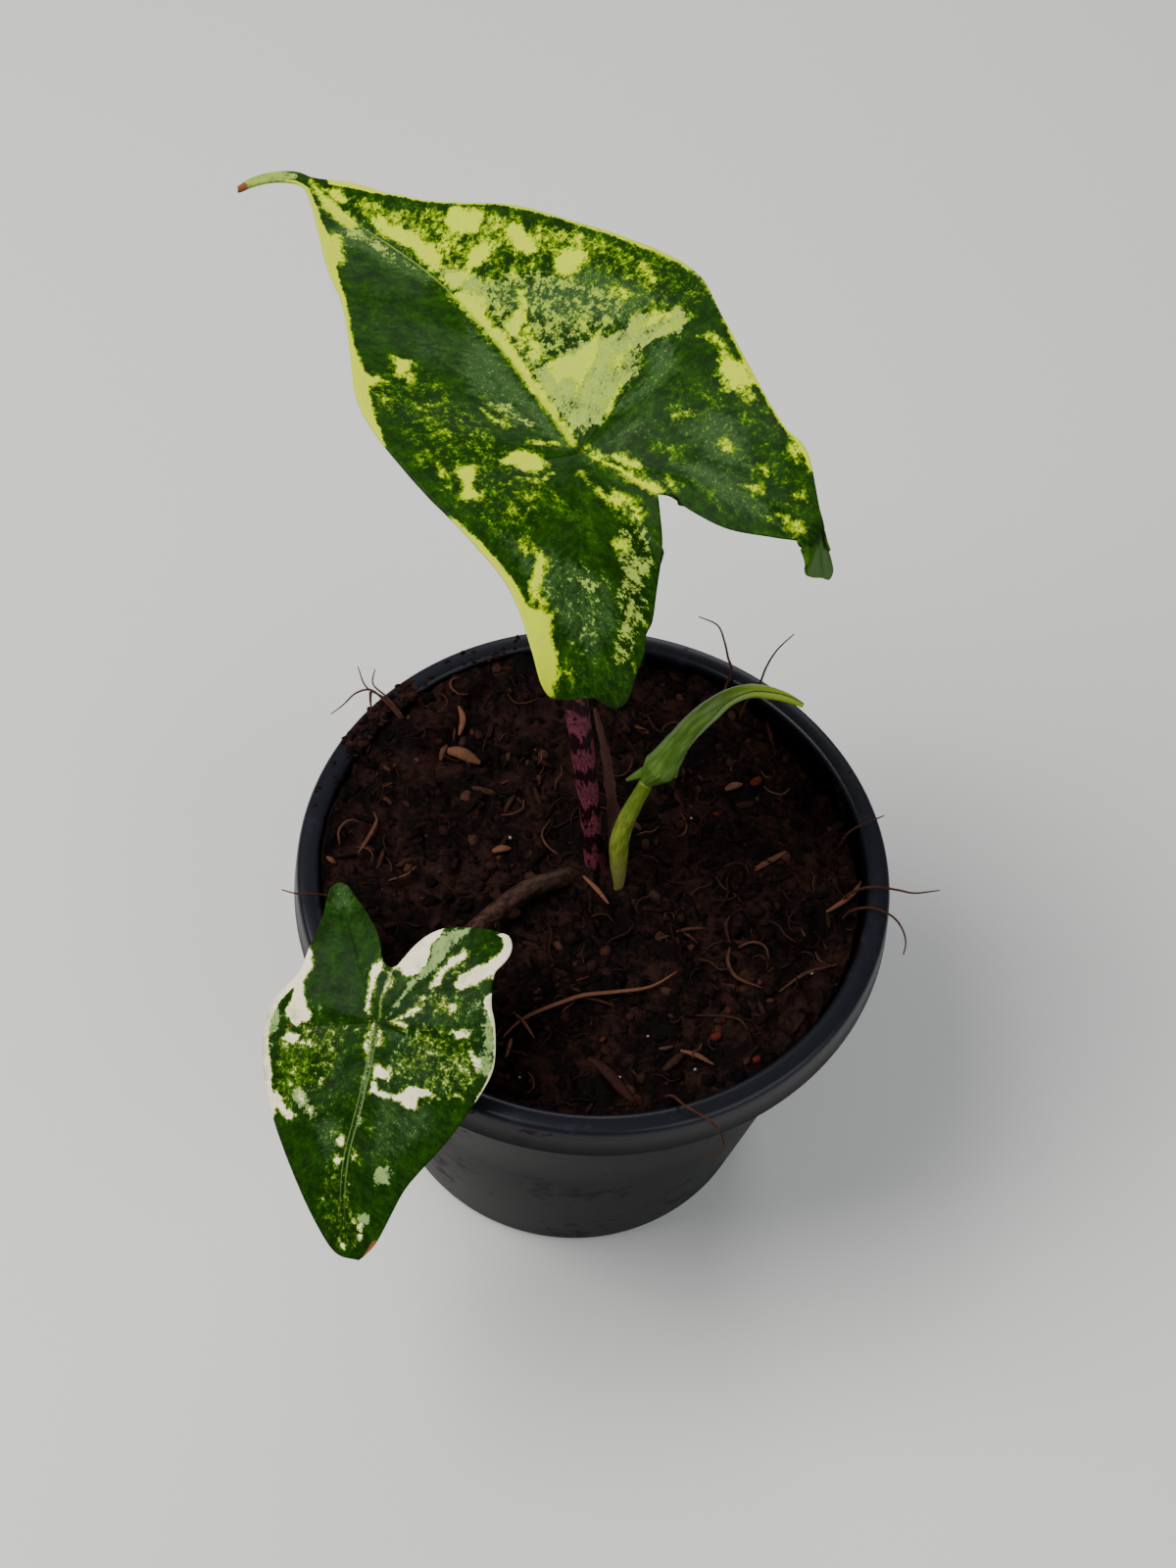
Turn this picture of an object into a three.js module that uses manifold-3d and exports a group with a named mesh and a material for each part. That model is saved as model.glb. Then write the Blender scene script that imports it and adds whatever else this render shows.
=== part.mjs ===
// A young variegated tiger alocasia in a 12 cm black nursery pot.
// Millimetres, +Z up. The origin is the middle of the pot's base, on the ground, and -Y is the front.

import * as THREE from 'three';
import { mergeVertices } from 'three/addons/utils/BufferGeometryUtils.js';
import Module from 'manifold-3d';

const wasm = await Module();
wasm.setup();

// Clearance between neighbouring pieces, and the distance below which vertices are one
const GAP = 0.3;
const WELD = 1e-3;

// The pot: a thin moulded cup with a flat lip and a skirt that hangs outside the wall
const POT_HEIGHT = 95;
const LIP_RADIUS = 60;
const LIP_WIDTH = 3;
const SKIRT_DROP = 8;
const SKIRT_FLARE = 0.9;
const WALL = 1.2;
const BASE_RADIUS = 42;
const BASE_RISE = 1.6;
const INSIDE_FOOT = { radius: 41.1, z: BASE_RISE + WALL + 1.6 };
const INSIDE_TOP = { radius: 55.5, z: 93.6 };
const DRAIN_HOLES = 8;
const DRAIN_RADIUS = 3.2;
const DRAIN_CIRCLE = 29;
const POT_SIDES = 56;

// The soil: coir and bark, a little under the lip, heaped up to it along the back and the left
const SOIL_LEVEL = 89;
const HEAPS = [
  { x: -50, y: 27, height: 4.6, spread: 10 },
  { x: -57, y: 1, height: 4.4, spread: 11 },
  { x: -54, y: -17, height: 1.6, spread: 7 },
  { x: -34, y: 45, height: 4, spread: 11 },
  { x: -8, y: 56, height: 4.4, spread: 12 },
  { x: 24, y: 50, height: 2.4, spread: 9 },
  { x: 44, y: 34, height: -2, spread: 10 },
  { x: 55, y: 1, height: 1.2, spread: 8 },
];
const SOIL_RINGS = 14;
const SOIL_SECTORS = 60;
const CRUMBS = 54;
const SHREDS = 20;

// Loose pieces keep this far from where a stem comes up, and from the low stem above the soil
const STEM_FEET = [[0.1, 3.6], [-5, 0], [5.4, -1], [3.2, 5]];
const FOOT_CLEAR = 5;
const STEM_CLEAR = 8;

// The rootstock, buried, with the stems standing on its top, and its radius from bottom to top as shares
const ROOTSTOCK = {
  x: 0.6, y: 0.8, top: 84, bottom: 60, radius: 8,
  shares: [0.55, 0.86, 1, 0.94, 1.02, 0.96, 1, 0.9],
};

// Blades are 0.7 mm thick, with ridges under the midrib and the two basal veins
const BLADE = 0.7;
const RIDGE = 0.9;
const RIDGE_WIDTH = 1.1;

// A side vein runs along every fourth row. The blade dips there and swells between, less on a short row.
const VEIN_ROWS = 4;
const VEIN_DIP = 0.35;
const SHORT_ROW = 12;

// The half step over which a blade's slope is read
const SLOPE_STEP = 0.05;

// A blade lies in its own frame: x to the tip, y to its left, z up, with the junction of its veins at 0.
// Outlines run from the tip to each lobe's end, and from the notch behind the junction to each lobe's end.
// arch, side and lobe are radii of curvature, rise is the slope of each half beside the midrib.
const LARGE_BLADE = {
  at: [-10.6, 22.5, 190], yaw: 130, nose: 0, bank: -3, arch: 550,
  rows: { midrib: 18, fan: 4, lobe: 8 },
  midrib: [[96, 12.8], [96.4, 9], [95.6, 4.6], [92.5, 1.2], [86, 0.4], [74, -0.2], [54, -2.7], [32, -3],
    [11, -1.3], [0, 0]],
  left: {
    rise: 0.22, side: 150, lobe: 75, fan: [0.57, 0.77],
    outer: [[96, 12.8], [95.3, 9], [94, 4.8], [91, 2], [84, 3.6], [77, 6.5], [64, 11.7], [52, 15.5], [40, 21.3],
      [30, 26], [21, 27.8], [6, 28], [-8, 27], [-18, 26.5], [-28.8, 29.2], [-33.4, 30.5], [-35.2, 30.3],
      [-36.3, 29.4], [-37.3, 27.4], [-38.7, 23.6]],
    inner: [[-15.5, -5.6], [-18.5, -4], [-23, -1.3], [-27.8, 3.2], [-33.1, 8.1], [-34.4, 10.2], [-37, 12.4],
      [-39, 15.3], [-41.2, 18.5], [-41.6, 20], [-41.4, 21.3], [-40.6, 22.2], [-38.7, 23.6]],
    vein: [[0, 0], [-14, 9], [-28, 18.2], [-38.7, 23.6]],
    fold: { start: 39.5, radius: 5.5, angle: 88 },
  },
  right: {
    rise: 0.42, side: 300, lobe: 120, fan: [0.51, 0.68],
    outer: [[96, 12.8], [97.4, 9], [97.3, 4.6], [95, 0.6], [91, -1], [84, -4.7], [74, -8.4], [65, -12.6],
      [52, -21.4], [40, -26.6], [30, -30.7], [14, -34.9], [4, -32.8], [-8, -30.1], [-15, -28.8], [-21.2, -28.1],
      [-24.7, -28.7], [-27.5, -28.2], [-32.6, -25.9], [-36.7, -24.2], [-39.1, -24.4], [-41.2, -25.9],
      [-43.7, -29.2], [-45.6, -30.9], [-48, -32.6], [-48.4, -31.4], [-46.2, -26.5]],
    inner: [[-15.5, -5.6], [-17.1, -6.8], [-21.8, -8.2], [-28, -11], [-34.1, -16.1], [-36.6, -18.5],
      [-38.2, -19.8], [-39.7, -19.1], [-41.4, -17.9], [-42.6, -19], [-44.1, -21.7], [-46.2, -26.5]],
    vein: [[0, 0], [-14, -9.5], [-28, -17.6], [-39.6, -22.4], [-46.2, -26.5]],
    fold: { start: 42.8, radius: 1.8, angle: 80 },
  },
};

const SMALL_BLADE = {
  at: [-37.6, -46.1, 104], yaw: 266, nose: -27, bank: 16, arch: 118,
  rows: { midrib: 14, fan: 4, lobe: 6 },
  midrib: [[44.2, 1.5], [38, -2], [26, -2.6], [14, -0.8], [0, 0]],
  left: {
    rise: 0.02, side: 74, lobe: 47, fan: [0.5, 0.72],
    outer: [[44.2, 1.5], [41, 4.4], [34, 7.6], [28.5, 10.3], [20, 16.3], [11.8, 20.7], [5.7, 23], [2.4, 23.1],
      [-3.5, 22], [-6.6, 20.8], [-11, 20], [-12.9, 20], [-14.8, 21.1], [-16.5, 21.6], [-18.6, 21.3],
      [-20.2, 20.1], [-20.4, 18.8]],
    inner: [[-10.5, 0.6], [-10.9, 1.4], [-12.6, 2.4], [-15.1, 3.7], [-17.5, 5.6], [-19.2, 8], [-20, 10.6],
      [-20.4, 13.9], [-20.6, 17.1], [-20.4, 18.8]],
    vein: [[0, 0], [-9, 7.6], [-16.5, 14.6], [-20.4, 18.8]],
    fold: { start: 24.5, radius: 6, angle: 60 },
  },
  right: {
    rise: 0.09, side: 78, lobe: 46, fan: [0.5, 0.7],
    outer: [[44.2, 1.5], [43.8, -3], [39, -7.5], [30, -13.2], [20.7, -18.5], [11.8, -22.2], [4.8, -23.3],
      [0.7, -22.8], [-2.3, -21.5], [-5.4, -18.9], [-8, -17.6], [-11.8, -17.2], [-17.8, -16.6], [-21.7, -17.1],
      [-23.9, -17.7], [-25.2, -17.3], [-25.6, -16.4]],
    inner: [[-10.5, 0.6], [-11, -0.8], [-12.5, -2.1], [-14.2, -2.8], [-16.8, -4.4], [-18.9, -6.4], [-21, -8.7],
      [-23, -11.4], [-24.9, -14], [-25.6, -16.4]],
    vein: [[0, 0], [-9, -5.2], [-18, -11.2], [-25.6, -16.4]],
    fold: { start: 26, radius: 8, angle: 40 },
  },
};

// Stems: the middle line from the rootstock up, the radius at even steps along it, and the number of rings
const STEM_SIDES = 10;
const LARGE_STEM = {
  line: [[0.6, 3.1, 84.4], [0.6, 3.1, 86], [0.1, 3.6, 89.5], [-2.05, 6.3, 103.8], [-4.45, 9, 118.2],
    [-6.95, 11.8, 132.9], [-9.6, 16, 155], [-10.9, 20.4, 175], [-10.7, 22.3, 184], [-10.5, 22.5, 188.4]],
  radii: [2.2, 2.1, 2.2, 2.35, 2.3, 2.2, 2.0, 1.8, 1.7],
  rings: 40,
};
const SMALL_STEM = {
  line: [[-4.4, 0.6, 84.4], [-4.4, 0.6, 86], [-5, -0.2, 88.6], [-8, -2.8, 90.8], [-13, -6.7, 92.6],
    [-21.7, -17.6, 94.8], [-29.5, -31, 96], [-34.6, -40.6, 97], [-36.1, -43.9, 99.6], [-37.1, -45.4, 102.6]],
  radii: [1.9, 1.9, 1.85, 1.8, 1.7, 1.6, 1.5, 1.4],
  rings: 30,
};
const NEW_STEM = {
  line: [[5.3, -1.7, 84.4], [5.3, -1.7, 86], [5.4, -1.5, 89.5], [4.8, 0.4, 95], [4.5, 2.2, 100], [5.2, 4.2, 104],
    [6.6, 6, 108.4], [7.9, 7, 112.4], [8.4, 7.4, 114.6]],
  radii: [1, 0.95, 1.55, 1.95, 1.9, 1.75, 1.55, 1.45],
  rings: 20,
};

// The new leaf, still rolled into a spear, with its two lobes at the foot
const SPEAR = {
  line: [[8.5, 7.5, 115.1], [9.5, 7.9, 117.2], [11.4, 8.9, 120.2], [13.5, 10.5, 124], [15.9, 12, 128],
    [18.9, 13.5, 131.6], [22.2, 15, 134.6], [26, 16, 136], [29.8, 16.4, 135.5], [33.6, 16.8, 133.9],
    [36.5, 17.1, 131.9]],
  radii: [1.6, 3.3, 2.9, 2.5, 2.4, 2.3, 1.8, 1.45, 1.3, 0.95, 0.5],
  rings: 30,
  lap: 0.22,
  lobes: [
    { line: [[9.6, 8.2, 118], [7.2, 8.2, 116], [4.5, 7.8, 113.8]], radii: [1.6, 1, 0.3], rings: 5 },
    { line: [[11.4, 9, 120], [13, 8.8, 117.8], [13.7, 8.6, 116]], radii: [1.6, 1.6, 0.8], rings: 5 },
  ],
};

// The dry papery sheath that once wrapped the large stem
const SHEATH = {
  line: [[4.6, 4.1, 84.4], [4.6, 4.1, 86], [4.4, 5, 90.5], [3.2, 7.2, 99], [1.6, 9.2, 108], [-0.2, 10.8, 118],
    [-2.2, 11.5, 127], [-3.2, 11.9, 131]],
  widths: [2.2, 3, 2.8, 2.3, 1.9, 1.4, 0.9],
  thickness: 0.6,
  rings: 16,
};

// Pieces of bark and coir that lie on the soil: middle line in x and y, half width, and height above it
const SLIVERS = [
  { points: [[-33, 25], [-29, 26.5], [-25.5, 24]], size: 1.5, lift: 0.5 },
  { points: [[-31, 32], [-31.6, 38]], size: 0.7, lift: 0.8 },
  { points: [[31, 6.5], [38, 9.5]], size: 0.7, lift: 0.5 },
  { points: [[49.5, -0.5], [52.8, 5]], size: 0.8, lift: 0.7 },
  { points: [[28.5, -13.5], [29.5, -19], [34.5, -22.5]], size: 0.5, lift: 0.6 },
  { points: [[41, -19.5], [46, -17]], size: 0.5, lift: 0.6 },
  { points: [[-15.5, -40], [-9, -33.6], [1.2, -28.6], [19, -20.5]], size: 0.6, lift: 1 },
  { points: [[-13.5, -36.5], [-8.4, -39]], size: 0.5, lift: 1.3 },
  { points: [[2.8, -41], [8, -46], [13.4, -51.4]], size: 1.1, lift: 0.7 },
  { points: [[20, -37.5], [27, -40.6]], size: 0.7, lift: 0.6 },
];

const END_DEPTH = 0.3;

// Fibres that reach over the lip: middle line in x, y and height above the ground
const FIBRES = [
  [[18, -47, 89], [19.5, -50, 94], [21.8, -53.2, 96.8], [26.2, -55.6, 97.2], [28.8, -57.6, 95.2],
    [29.4, -59, 92], [25.8, -60.4, 89]],
  [[50.5, 14, 89], [51.6, 14.4, 93.6], [54.6, 15, 96.8], [58.2, 16.4, 98.2]],
  [[50, -1, 88.5], [52, -0.6, 93.8], [56, -0.4, 97], [61, -0.7, 97.4], [64.5, -0.8, 97], [70, 1, 96.2]],
  [[51, -4, 88.5], [52.6, -4.4, 93.6], [56.3, -5.2, 96.8], [60.4, -7, 97.1], [62.6, -8.8, 95.6],
    [63.6, -10.8, 93.6], [63.4, -12.4, 92]],
  [[-42.8, 29.6, 93], [-43.8, 30.3, 95], [-47, 32.6, 97], [-50.7, 35.2, 97.3], [-53.4, 34, 97.4],
    [-55.8, 30.2, 97.6], [-57.8, 27.6, 97.8]],
  [[-42.6, 29.9, 93], [-43.6, 30.6, 95], [-47, 33.2, 97.2], [-51.6, 35.4, 98], [-53.8, 38.9, 100]],
  [[-42.4, 30.2, 93], [-43.4, 30.9, 95], [-46.8, 33.6, 97.3], [-50.2, 36, 98.5], [-50.1, 38.6, 100.2]],
  [[-49.6, -13.2, 88], [-51.2, -14, 93.8], [-54.6, -15.6, 96.8], [-58, -16.2, 97.4], [-61, -15.8, 97.6]],
  [[22.6, 44.5, 89], [24.2, 48, 94], [25.1, 51, 96.9], [24.2, 53.1, 97.7], [23.1, 56.6, 98.8], [21.3, 60, 100],
    [17, 61.6, 100.4]],
  [[27.5, 43, 89], [29, 45, 94], [31.2, 47.6, 96.9], [32.4, 51.7, 97.7], [34.4, 55.9, 98.6], [37.9, 60.2, 99.6]],
];

// A repeatable stream of numbers from 0 to 1
function dice(seed) {
  let state = seed;
  return () => {
    state = (state + 0x6d2b79f5) | 0;
    let t = Math.imul(state ^ (state >>> 15), 1 | state);
    t = (t + Math.imul(t ^ (t >>> 7), 61 | t)) ^ t;
    return ((t ^ (t >>> 14)) >>> 0) / 4294967296;
  };
}

function finish(name, geometry, colour, roughness) {
  const material = new THREE.MeshStandardMaterial({ color: colour, roughness, metalness: 0 });
  const mesh = new THREE.Mesh(geometry, material);
  mesh.name = name;
  return mesh;
}

// One welded surface: vertices that meet are merged, and triangles that closed up are dropped
function weld(geometry) {
  const bare = geometry.clone();
  bare.deleteAttribute('normal');
  bare.deleteAttribute('uv');
  const merged = mergeVertices(bare, WELD);
  const index = merged.index.array;
  const kept = [];
  for (let i = 0; i < index.length; i += 3) {
    const [a, b, c] = [index[i], index[i + 1], index[i + 2]];
    if (a !== b && b !== c && c !== a) kept.push(a, b, c);
  }
  merged.setIndex(kept);
  return merged;
}

function fromPoints(points, triangles) {
  const geometry = new THREE.BufferGeometry();
  geometry.setAttribute('position', new THREE.Float32BufferAttribute(points.flat(), 3));
  geometry.setIndex(triangles.flat());
  return weld(geometry);
}

function toSolid(geometry) {
  const welded = weld(geometry);
  const mesh = new wasm.Mesh({
    numProp: 3,
    vertProperties: new Float32Array(welded.attributes.position.array),
    triVerts: new Uint32Array(welded.index.array),
  });
  return new wasm.Manifold(mesh);
}

function toGeometry(solid) {
  const mesh = solid.getMesh();
  const geometry = new THREE.BufferGeometry();
  geometry.setAttribute('position', new THREE.BufferAttribute(new Float32Array(mesh.vertProperties), 3));
  geometry.setIndex(new THREE.BufferAttribute(new Uint32Array(mesh.triVerts), 1));
  return geometry;
}

// A piecewise straight value: `values` at even steps of a share from 0 to 1
function along(values, share) {
  const place = Math.min(Math.max(share, 0), 1) * (values.length - 1);
  const i = Math.min(Math.floor(place), values.length - 2);
  return values[i] + (values[i + 1] - values[i]) * (place - i);
}

// A closed solid swept along a line. `section(share)` gives the points round it, seen along the line.
function sweep(line, section, rings) {
  const curve = new THREE.CatmullRomCurve3(line.map((p) => new THREE.Vector3(...p)), false, 'centripetal');
  const frames = curve.computeFrenetFrames(rings, false);
  const points = [];
  const triangles = [];
  const sides = section(0).length;
  for (let i = 0; i <= rings; i += 1) {
    const middle = curve.getPointAt(i / rings);
    for (const [a, b] of section(i / rings)) {
      const p = middle.clone().addScaledVector(frames.normals[i], a).addScaledVector(frames.binormals[i], b);
      points.push(p.toArray());
    }
  }
  for (let i = 0; i < rings; i += 1) {
    for (let j = 0; j < sides; j += 1) {
      const a = i * sides + j;
      const b = i * sides + ((j + 1) % sides);
      triangles.push([a, b, b + sides], [a, b + sides, a + sides]);
    }
  }
  const outline = section(0).map(([a, b]) => new THREE.Vector2(a, b));
  const last = rings * sides;
  for (const [a, b, c] of THREE.ShapeUtils.triangulateShape(outline, [])) {
    triangles.push([a, c, b], [last + a, last + b, last + c]);
  }
  return fromPoints(points, triangles);
}

function circle(radius, sides) {
  const points = [];
  for (let i = 0; i < sides; i += 1) {
    const angle = (2 * Math.PI * i) / sides;
    points.push([radius * Math.cos(angle), radius * Math.sin(angle)]);
  }
  return points;
}

// A round stem, or with `extra` the room it takes
function stem({ line, radii, rings }, sides = STEM_SIDES, extra = 0) {
  return sweep(line, (share) => circle(along(radii, share) + extra, sides), rings);
}

function buildPot() {
  const skirt = LIP_RADIUS + SKIRT_FLARE;
  const top = POT_HEIGHT;
  const inner = LIP_RADIUS - LIP_WIDTH;
  const profile = [
    [0, 0], [20, 0], [22, BASE_RISE], [35, BASE_RISE], [37, 0], [BASE_RADIUS - 1, 0], [BASE_RADIUS, 0.5],
    [BASE_RADIUS + 0.6, 2.5], [inner - 0.2, top - WALL - 0.4], [inner + 0.2, top - WALL],
    [LIP_RADIUS - 1.4, top - WALL], [skirt - WALL, top - SKIRT_DROP], [skirt - 0.2, top - SKIRT_DROP - 0.3],
    [skirt, top - SKIRT_DROP + 0.4], [LIP_RADIUS + 0.1, top - 1.2], [LIP_RADIUS - 0.4, top - 0.3],
    [LIP_RADIUS - 1, top], [inner - 0.5, top], [inner - 1.2, top - 0.4], [INSIDE_TOP.radius, INSIDE_TOP.z],
    [INSIDE_FOOT.radius, INSIDE_FOOT.z], [BASE_RADIUS - 2, BASE_RISE + WALL], [0, BASE_RISE + WALL],
  ];
  const lathe = new THREE.LatheGeometry(profile.map(([r, z]) => new THREE.Vector2(r, z)), POT_SIDES);
  lathe.rotateX(Math.PI / 2);
  let pot = toSolid(lathe);
  for (let i = 0; i < DRAIN_HOLES; i += 1) {
    const angle = (2 * Math.PI * i) / DRAIN_HOLES;
    const hole = new THREE.CylinderGeometry(DRAIN_RADIUS, DRAIN_RADIUS, 12, 12);
    hole.rotateX(Math.PI / 2);
    hole.translate(DRAIN_CIRCLE * Math.cos(angle), DRAIN_CIRCLE * Math.sin(angle), 0);
    pot = pot.subtract(toSolid(hole));
  }
  return finish('pot', toGeometry(pot), 0x0b0c0f, 0.42);
}

// The inside radius of the pot at a height above the ground
function potInside(z) {
  const share = (z - INSIDE_FOOT.z) / (INSIDE_TOP.z - INSIDE_FOOT.z);
  return INSIDE_FOOT.radius + (INSIDE_TOP.radius - INSIDE_FOOT.radius) * share;
}

// Smooth noise from -1 to 1 with bumps about `size` across
function lumps(x, y, size, shift) {
  const corner = (i, j) => {
    const mixed = Math.sin(i * 127.1 + j * 311.7 + shift * 74.7) * 43758.5453;
    return 2 * (mixed - Math.floor(mixed)) - 1;
  };
  const [u, v] = [x / size, y / size];
  const [i, j] = [Math.floor(u), Math.floor(v)];
  const [s, t] = [u - i, v - j].map((f) => f * f * (3 - 2 * f));
  const low = corner(i, j) * (1 - s) + corner(i + 1, j) * s;
  const high = corner(i, j + 1) * (1 - s) + corner(i + 1, j + 1) * s;
  return low * (1 - t) + high * t;
}

function soilHeight(x, y) {
  let level = SOIL_LEVEL + 0.6 * lumps(x, y, 11, 1) + 0.75 * lumps(x, y, 4.3, 2);
  for (const { x: px, y: py, height, spread } of HEAPS) {
    level += height * Math.exp(-((x - px) ** 2 + (y - py) ** 2) / (2 * spread * spread));
  }
  return level;
}

function soilBlock() {
  const points = [[0, 0, soilHeight(0, 0)]];
  const triangles = [];
  const edge = (angle) => {
    const inside = potInside(SOIL_LEVEL);
    const height = soilHeight(inside * Math.cos(angle), inside * Math.sin(angle));
    return potInside(Math.min(height, POT_HEIGHT - 2)) - GAP;
  };
  const at = (ring, sector) => 1 + (ring - 1) * SOIL_SECTORS + (sector % SOIL_SECTORS);
  for (let ring = 1; ring <= SOIL_RINGS; ring += 1) {
    for (let sector = 0; sector < SOIL_SECTORS; sector += 1) {
      const angle = (2 * Math.PI * (sector + (ring % 2) / 2)) / SOIL_SECTORS;
      const radius = (edge(angle) * ring) / SOIL_RINGS;
      const [x, y] = [radius * Math.cos(angle), radius * Math.sin(angle)];
      points.push([x, y, soilHeight(x, y)]);
    }
  }
  for (let sector = 0; sector < SOIL_SECTORS; sector += 1) {
    triangles.push([0, at(1, sector), at(1, sector + 1)]);
    for (let ring = 1; ring < SOIL_RINGS; ring += 1) {
      const [a, b] = [at(ring, sector), at(ring, sector + 1)];
      const [c, d] = [at(ring + 1, sector), at(ring + 1, sector + 1)];
      if (ring % 2) triangles.push([a, c, d], [a, d, b]);
      else triangles.push([a, c, b], [b, c, d]);
    }
  }
  // The side follows the pot's wall down to its floor
  const foot = BASE_RISE + WALL + GAP;
  const floorRadius = BASE_RADIUS - 2.4 - GAP;
  const shoulder = SOIL_LEVEL - 6;
  const rims = [[potInside(shoulder) - GAP, shoulder], [floorRadius + 0.9, foot + 2.2], [floorRadius, foot]];
  let previous = (sector) => at(SOIL_RINGS, sector);
  for (const [radius, z] of rims) {
    const first = points.length;
    for (let sector = 0; sector < SOIL_SECTORS; sector += 1) {
      const angle = (2 * Math.PI * (sector + (SOIL_RINGS % 2) / 2)) / SOIL_SECTORS;
      points.push([radius * Math.cos(angle), radius * Math.sin(angle), z]);
    }
    const current = (sector) => first + (sector % SOIL_SECTORS);
    for (let sector = 0; sector < SOIL_SECTORS; sector += 1) {
      const [a, b, c, d] = [previous(sector), previous(sector + 1), current(sector), current(sector + 1)];
      triangles.push([a, c, d], [a, d, b]);
    }
    previous = current;
  }
  const middle = points.length;
  points.push([0, 0, foot]);
  for (let sector = 0; sector < SOIL_SECTORS; sector += 1) {
    triangles.push([middle, previous(sector + 1), previous(sector)]);
  }
  return toSolid(fromPoints(points, triangles));
}

// Points that lie along the soil, lifted in the middle of their run so that both ends are buried
function lieOnSoil(points, lift) {
  return points.map(([x, y], i) => {
    const end = i === 0 || i === points.length - 1;
    return [x, y, soilHeight(x, y) + (end ? -END_DEPTH : lift)];
  });
}

function isFree(x, y) {
  const clearOf = (places, reach) => places.every(([px, py]) => Math.hypot(x - px, y - py) >= reach);
  return clearOf(STEM_FEET, FOOT_CLEAR) && clearOf(SMALL_STEM.line, STEM_CLEAR);
}

// The rootstock, or with `extra` the room it takes, which reaches over its top for the stems to start in
function rootstock(extra) {
  const { top, bottom, radius, shares } = ROOTSTOCK;
  const spacing = (top - bottom) / (shares.length - 1);
  const profile = shares.map((share, i) => [radius * share + extra, bottom + spacing * i]);
  profile[0][1] -= extra;
  profile[profile.length - 1][1] += 2 * extra;
  profile.unshift([0, bottom - extra]);
  profile.push([0, top + 2 * extra]);
  const lathe = new THREE.LatheGeometry(profile.map(([r, z]) => new THREE.Vector2(r, z)), 20);
  lathe.rotateX(Math.PI / 2);
  lathe.translate(ROOTSTOCK.x, ROOTSTOCK.y, 0);
  return lathe;
}

// The sheath, or with `extra` the room it takes
function sheath(extra) {
  const section = (share) => {
    const half = along(SHEATH.widths, share) / 2 + extra;
    const thin = SHEATH.thickness / 2 + extra;
    const [low, high] = [-thin * 0.4, thin * 0.6];
    return [[-half, low], [0, -thin], [half, low], [half, high], [0, thin], [-half, high]];
  };
  return sweep(SHEATH.line, section, SHEATH.rings);
}

function buildSoil() {
  const roll = dice(11);
  const loose = [];
  const spot = (limit) => {
    for (;;) {
      const radius = limit * Math.sqrt(roll());
      const angle = 2 * Math.PI * roll();
      const [x, y] = [radius * Math.cos(angle), radius * Math.sin(angle)];
      if (isFree(x, y)) return [x, y];
    }
  };
  for (let i = 0; i < CRUMBS; i += 1) {
    const [x, y] = spot(51);
    const crumb = new THREE.IcosahedronGeometry(0.9 + 1.2 * roll() ** 2, 0);
    crumb.scale(1.1, 0.9, 0.8);
    crumb.rotateX(3 * roll());
    crumb.rotateZ(6 * roll());
    crumb.translate(x, y, soilHeight(x, y) + 0.1);
    loose.push(toSolid(crumb));
  }
  for (let i = 0; i < SHREDS; i += 1) {
    const [x, y] = spot(48);
    const angle = 2 * Math.PI * roll();
    const length = 2 + 4 * roll();
    const [dx, dy] = [Math.cos(angle) * length * 0.5, Math.sin(angle) * length * 0.5];
    const bow = (roll() - 0.5) * 0.5;
    const size = 0.35 + 0.35 * roll();
    const line = lieOnSoil([[x - dx, y - dy], [x - dy * bow, y + dx * bow], [x + dx, y + dy]], 0.7);
    loose.push(toSolid(sweep(line, () => circle(size, 3), 3)));
  }
  for (const { points, size, lift } of SLIVERS) {
    const line = lieOnSoil(points, lift);
    if (line.length === 2) {
      const middle = [0, 1, 2].map((k) => (line[0][k] + line[1][k]) / 2);
      middle[2] += lift + END_DEPTH;
      line.splice(1, 0, middle);
    }
    const [low, high, top] = [-size * 0.5, size * 0.4, size * 0.8];
    const flat = () => [[-size, low], [size, low], [top, high], [-top, high]];
    loose.push(toSolid(sweep(line, flat, 2 * line.length)));
  }
  for (const line of FIBRES) {
    const root = [...line[0]];
    root[2] = soilHeight(root[0], root[1]) - 1.5;
    const section = (share) => circle(0.42 - 0.14 * share, 4);
    loose.push(toSolid(sweep([root, ...line.slice(1)], section, 3 * line.length)));
  }
  let soil = wasm.Manifold.union([soilBlock(), ...loose]);
  const room = [
    rootstock(GAP),
    stem(LARGE_STEM, STEM_SIDES, GAP),
    stem(SMALL_STEM, STEM_SIDES, GAP),
    stem(NEW_STEM, STEM_SIDES, GAP),
    sheath(GAP),
  ];
  for (const piece of room) soil = soil.subtract(toSolid(piece));
  return finish('soil', toGeometry(largest(soil)), 0x2a1710, 0.95);
}

// Scraps that a cut leaves loose are dropped
function largest(solid) {
  const pieces = solid.decompose();
  return pieces.reduce((best, piece) => (piece.volume() > best.volume() ? piece : best));
}

// The height of a flat blade's point above its frame, before its lobes fold
function bladeHeight(leaf, x, y) {
  const half = y > 0 ? leaf.left : leaf.right;
  const across = Math.abs(y);
  const [ahead, behind] = [Math.max(x, 0), Math.max(-x, 0)];
  const shoulder = Math.sqrt(across * across + 4) - 2;
  return half.rise * shoulder - (across * across) / (2 * half.side)
    - (ahead * ahead) / (2 * leaf.arch) - (behind * behind) / (2 * half.lobe);
}

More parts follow.
